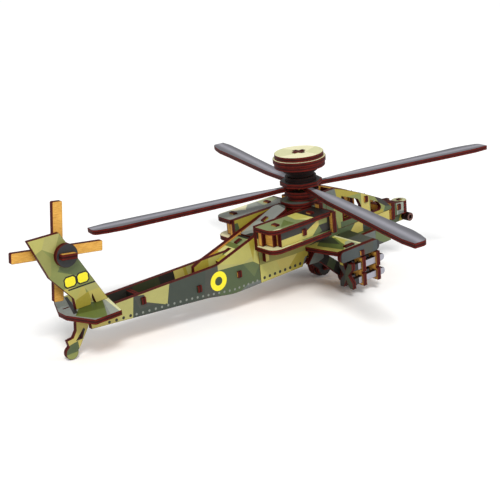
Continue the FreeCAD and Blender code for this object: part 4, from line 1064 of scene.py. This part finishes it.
def build_piece(node):
    """The detailed piece that stands for one CAD node."""
    triangles = triangles_of(node)
    builder = Builder()
    base, facets = FACETS.get(node, ("sand", []))
    crossed = node == "rotor_shaft"
    for normal in main_normals(triangles, 2 if crossed else 1):
        for face in flat_faces(triangles, normal):
            sheet = Sheet(face, triangles, normal)
            # The edges of one crossed strip face the way that the other strip's faces do.
            if crossed and abs(sheet.thickness - PLY) > 0.05:
                continue
            for up, printed in zip((True, False), printed_faces(node, sheet)):
                if printed or node not in INNER_FACETS:
                    face_side(builder, sheet, up, printed, base, facets)
                else:
                    face_side(builder, sheet, up, True, *INNER_FACETS[node])
            cut_edge(builder, sheet)
    edge = DARK_EDGE if node in DARK_EDGED else EDGE
    piece = builder.finish("look_" + node, [PRINT, RAW, edge])
    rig.ride(piece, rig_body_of(node))
    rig.replaces(piece, node)
    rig.slot(piece, slot_of(node))


for cad_node in sorted(frame["nodes"]):
    build_piece(cad_node)


# ---------------------------------------------------------------- floor, light and camera
FLOOR_HALF = 6.0            # metres
FLOOR_LEVEL = -0.0004       # just under the wheels
LIT_POINT = Vector((0.0, 0.0, 0.03))
CAMERA_EYE = Vector((-419.2, -476.3, 184.1 + MAST_TOP))
CAMERA_TURN = math.radians(51.947)      # from the nose towards port
CAMERA_DIP = math.radians(-19.592)
CAMERA_LEAN = math.radians(-5.589)
CAMERA_LENS = 74.37                     # on a sensor 36 mm wide


def floor_sheet():
    """A wide pale sheet just under the wheels."""
    mesh = bpy.data.meshes.new("studio_floor")
    signs = ((-1, -1), (1, -1), (1, 1), (-1, 1))
    corners = [(x * FLOOR_HALF, y * FLOOR_HALF, FLOOR_LEVEL) for x, y in signs]
    mesh.from_pydata(corners, [], [(0, 1, 2, 3)])
    mesh.update()
    shader = Shader("pale_floor")
    place = shader.add("ShaderNodeTexCoord").outputs["Object"]
    paper = shader.noise(place, 60.0, 2.0, 0.5)
    tint = shader.ramp(paper, [(0.3, grey(0.90)), (0.7, grey(0.92))])
    shader.link(tint, shader.surface.inputs["Base Color"])
    shader.surface.inputs["Roughness"].default_value = 0.9
    mesh.materials.append(shader.material)
    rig.stage(placed("studio_floor", mesh))


def lamp(name, kind, place, energy, **values):
    """A light at this place, in metres, that points at the model."""
    light = bpy.data.lights.new(name, kind)
    light.energy = energy
    for key, value in values.items():
        setattr(light, key, value)
    holder = placed(name, light)
    holder.location = place
    holder.rotation_euler = (LIT_POINT - holder.location).to_track_quat("-Z", "Y").to_euler()


def studio():
    """A high soft key from starboard, two large weak fills and a pale surround."""
    world = bpy.data.worlds.new("studio")
    bpy.context.scene.world = world
    world.use_nodes = True
    backdrop = world.node_tree.nodes["Background"]
    backdrop.inputs["Color"].default_value = (0.97, 0.985, 1.0, 1.0)
    backdrop.inputs["Strength"].default_value = 0.62
    lamp("key", "SUN", (-0.50, -0.80, 1.05), 2.4, angle=math.radians(16.0),
         color=(1.0, 0.985, 0.955))
    lamp("fill", "AREA", (-1.20, 0.10, 0.55), 2.5, shape="DISK", size=0.7)
    lamp("front", "AREA", (0.7, -0.8, 0.5), 3.0, shape="DISK", size=0.6)


def place_camera():
    """Long lens off the starboard rear quarter, a little above the rotor."""
    level = math.cos(CAMERA_DIP)
    look = Vector((level * math.cos(CAMERA_TURN), level * math.sin(CAMERA_TURN),
                   math.sin(CAMERA_DIP)))
    side = look.cross(Vector((0.0, 0.0, 1.0))).normalized()
    above = side.cross(look)
    right = side * math.cos(CAMERA_LEAN) + above * math.sin(CAMERA_LEAN)
    up = above * math.cos(CAMERA_LEAN) - side * math.sin(CAMERA_LEAN)
    home = to_world(CAMERA_EYE)
    axes = [(to_world(CAMERA_EYE + axis) - home).normalized() for axis in (right, up, -look)]
    camera = bpy.data.cameras.new("camera")
    camera.sensor_width = 36.0
    camera.lens = CAMERA_LENS
    camera.clip_start, camera.clip_end = 0.01, 30.0
    holder = placed("camera", camera)
    holder.matrix_world = Matrix.Translation(home) @ Matrix(axes).transposed().to_4x4()
    bpy.context.scene.camera = holder


floor_sheet()
studio()
place_camera()
bpy.context.scene.view_settings.view_transform = "Standard"

end_low, end_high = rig.bounds()
with open("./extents.json", "w") as size_file:
    json.dump({"start": [list(start_low), list(start_high)],
               "end": [list(end_low), list(end_high)]}, size_file)
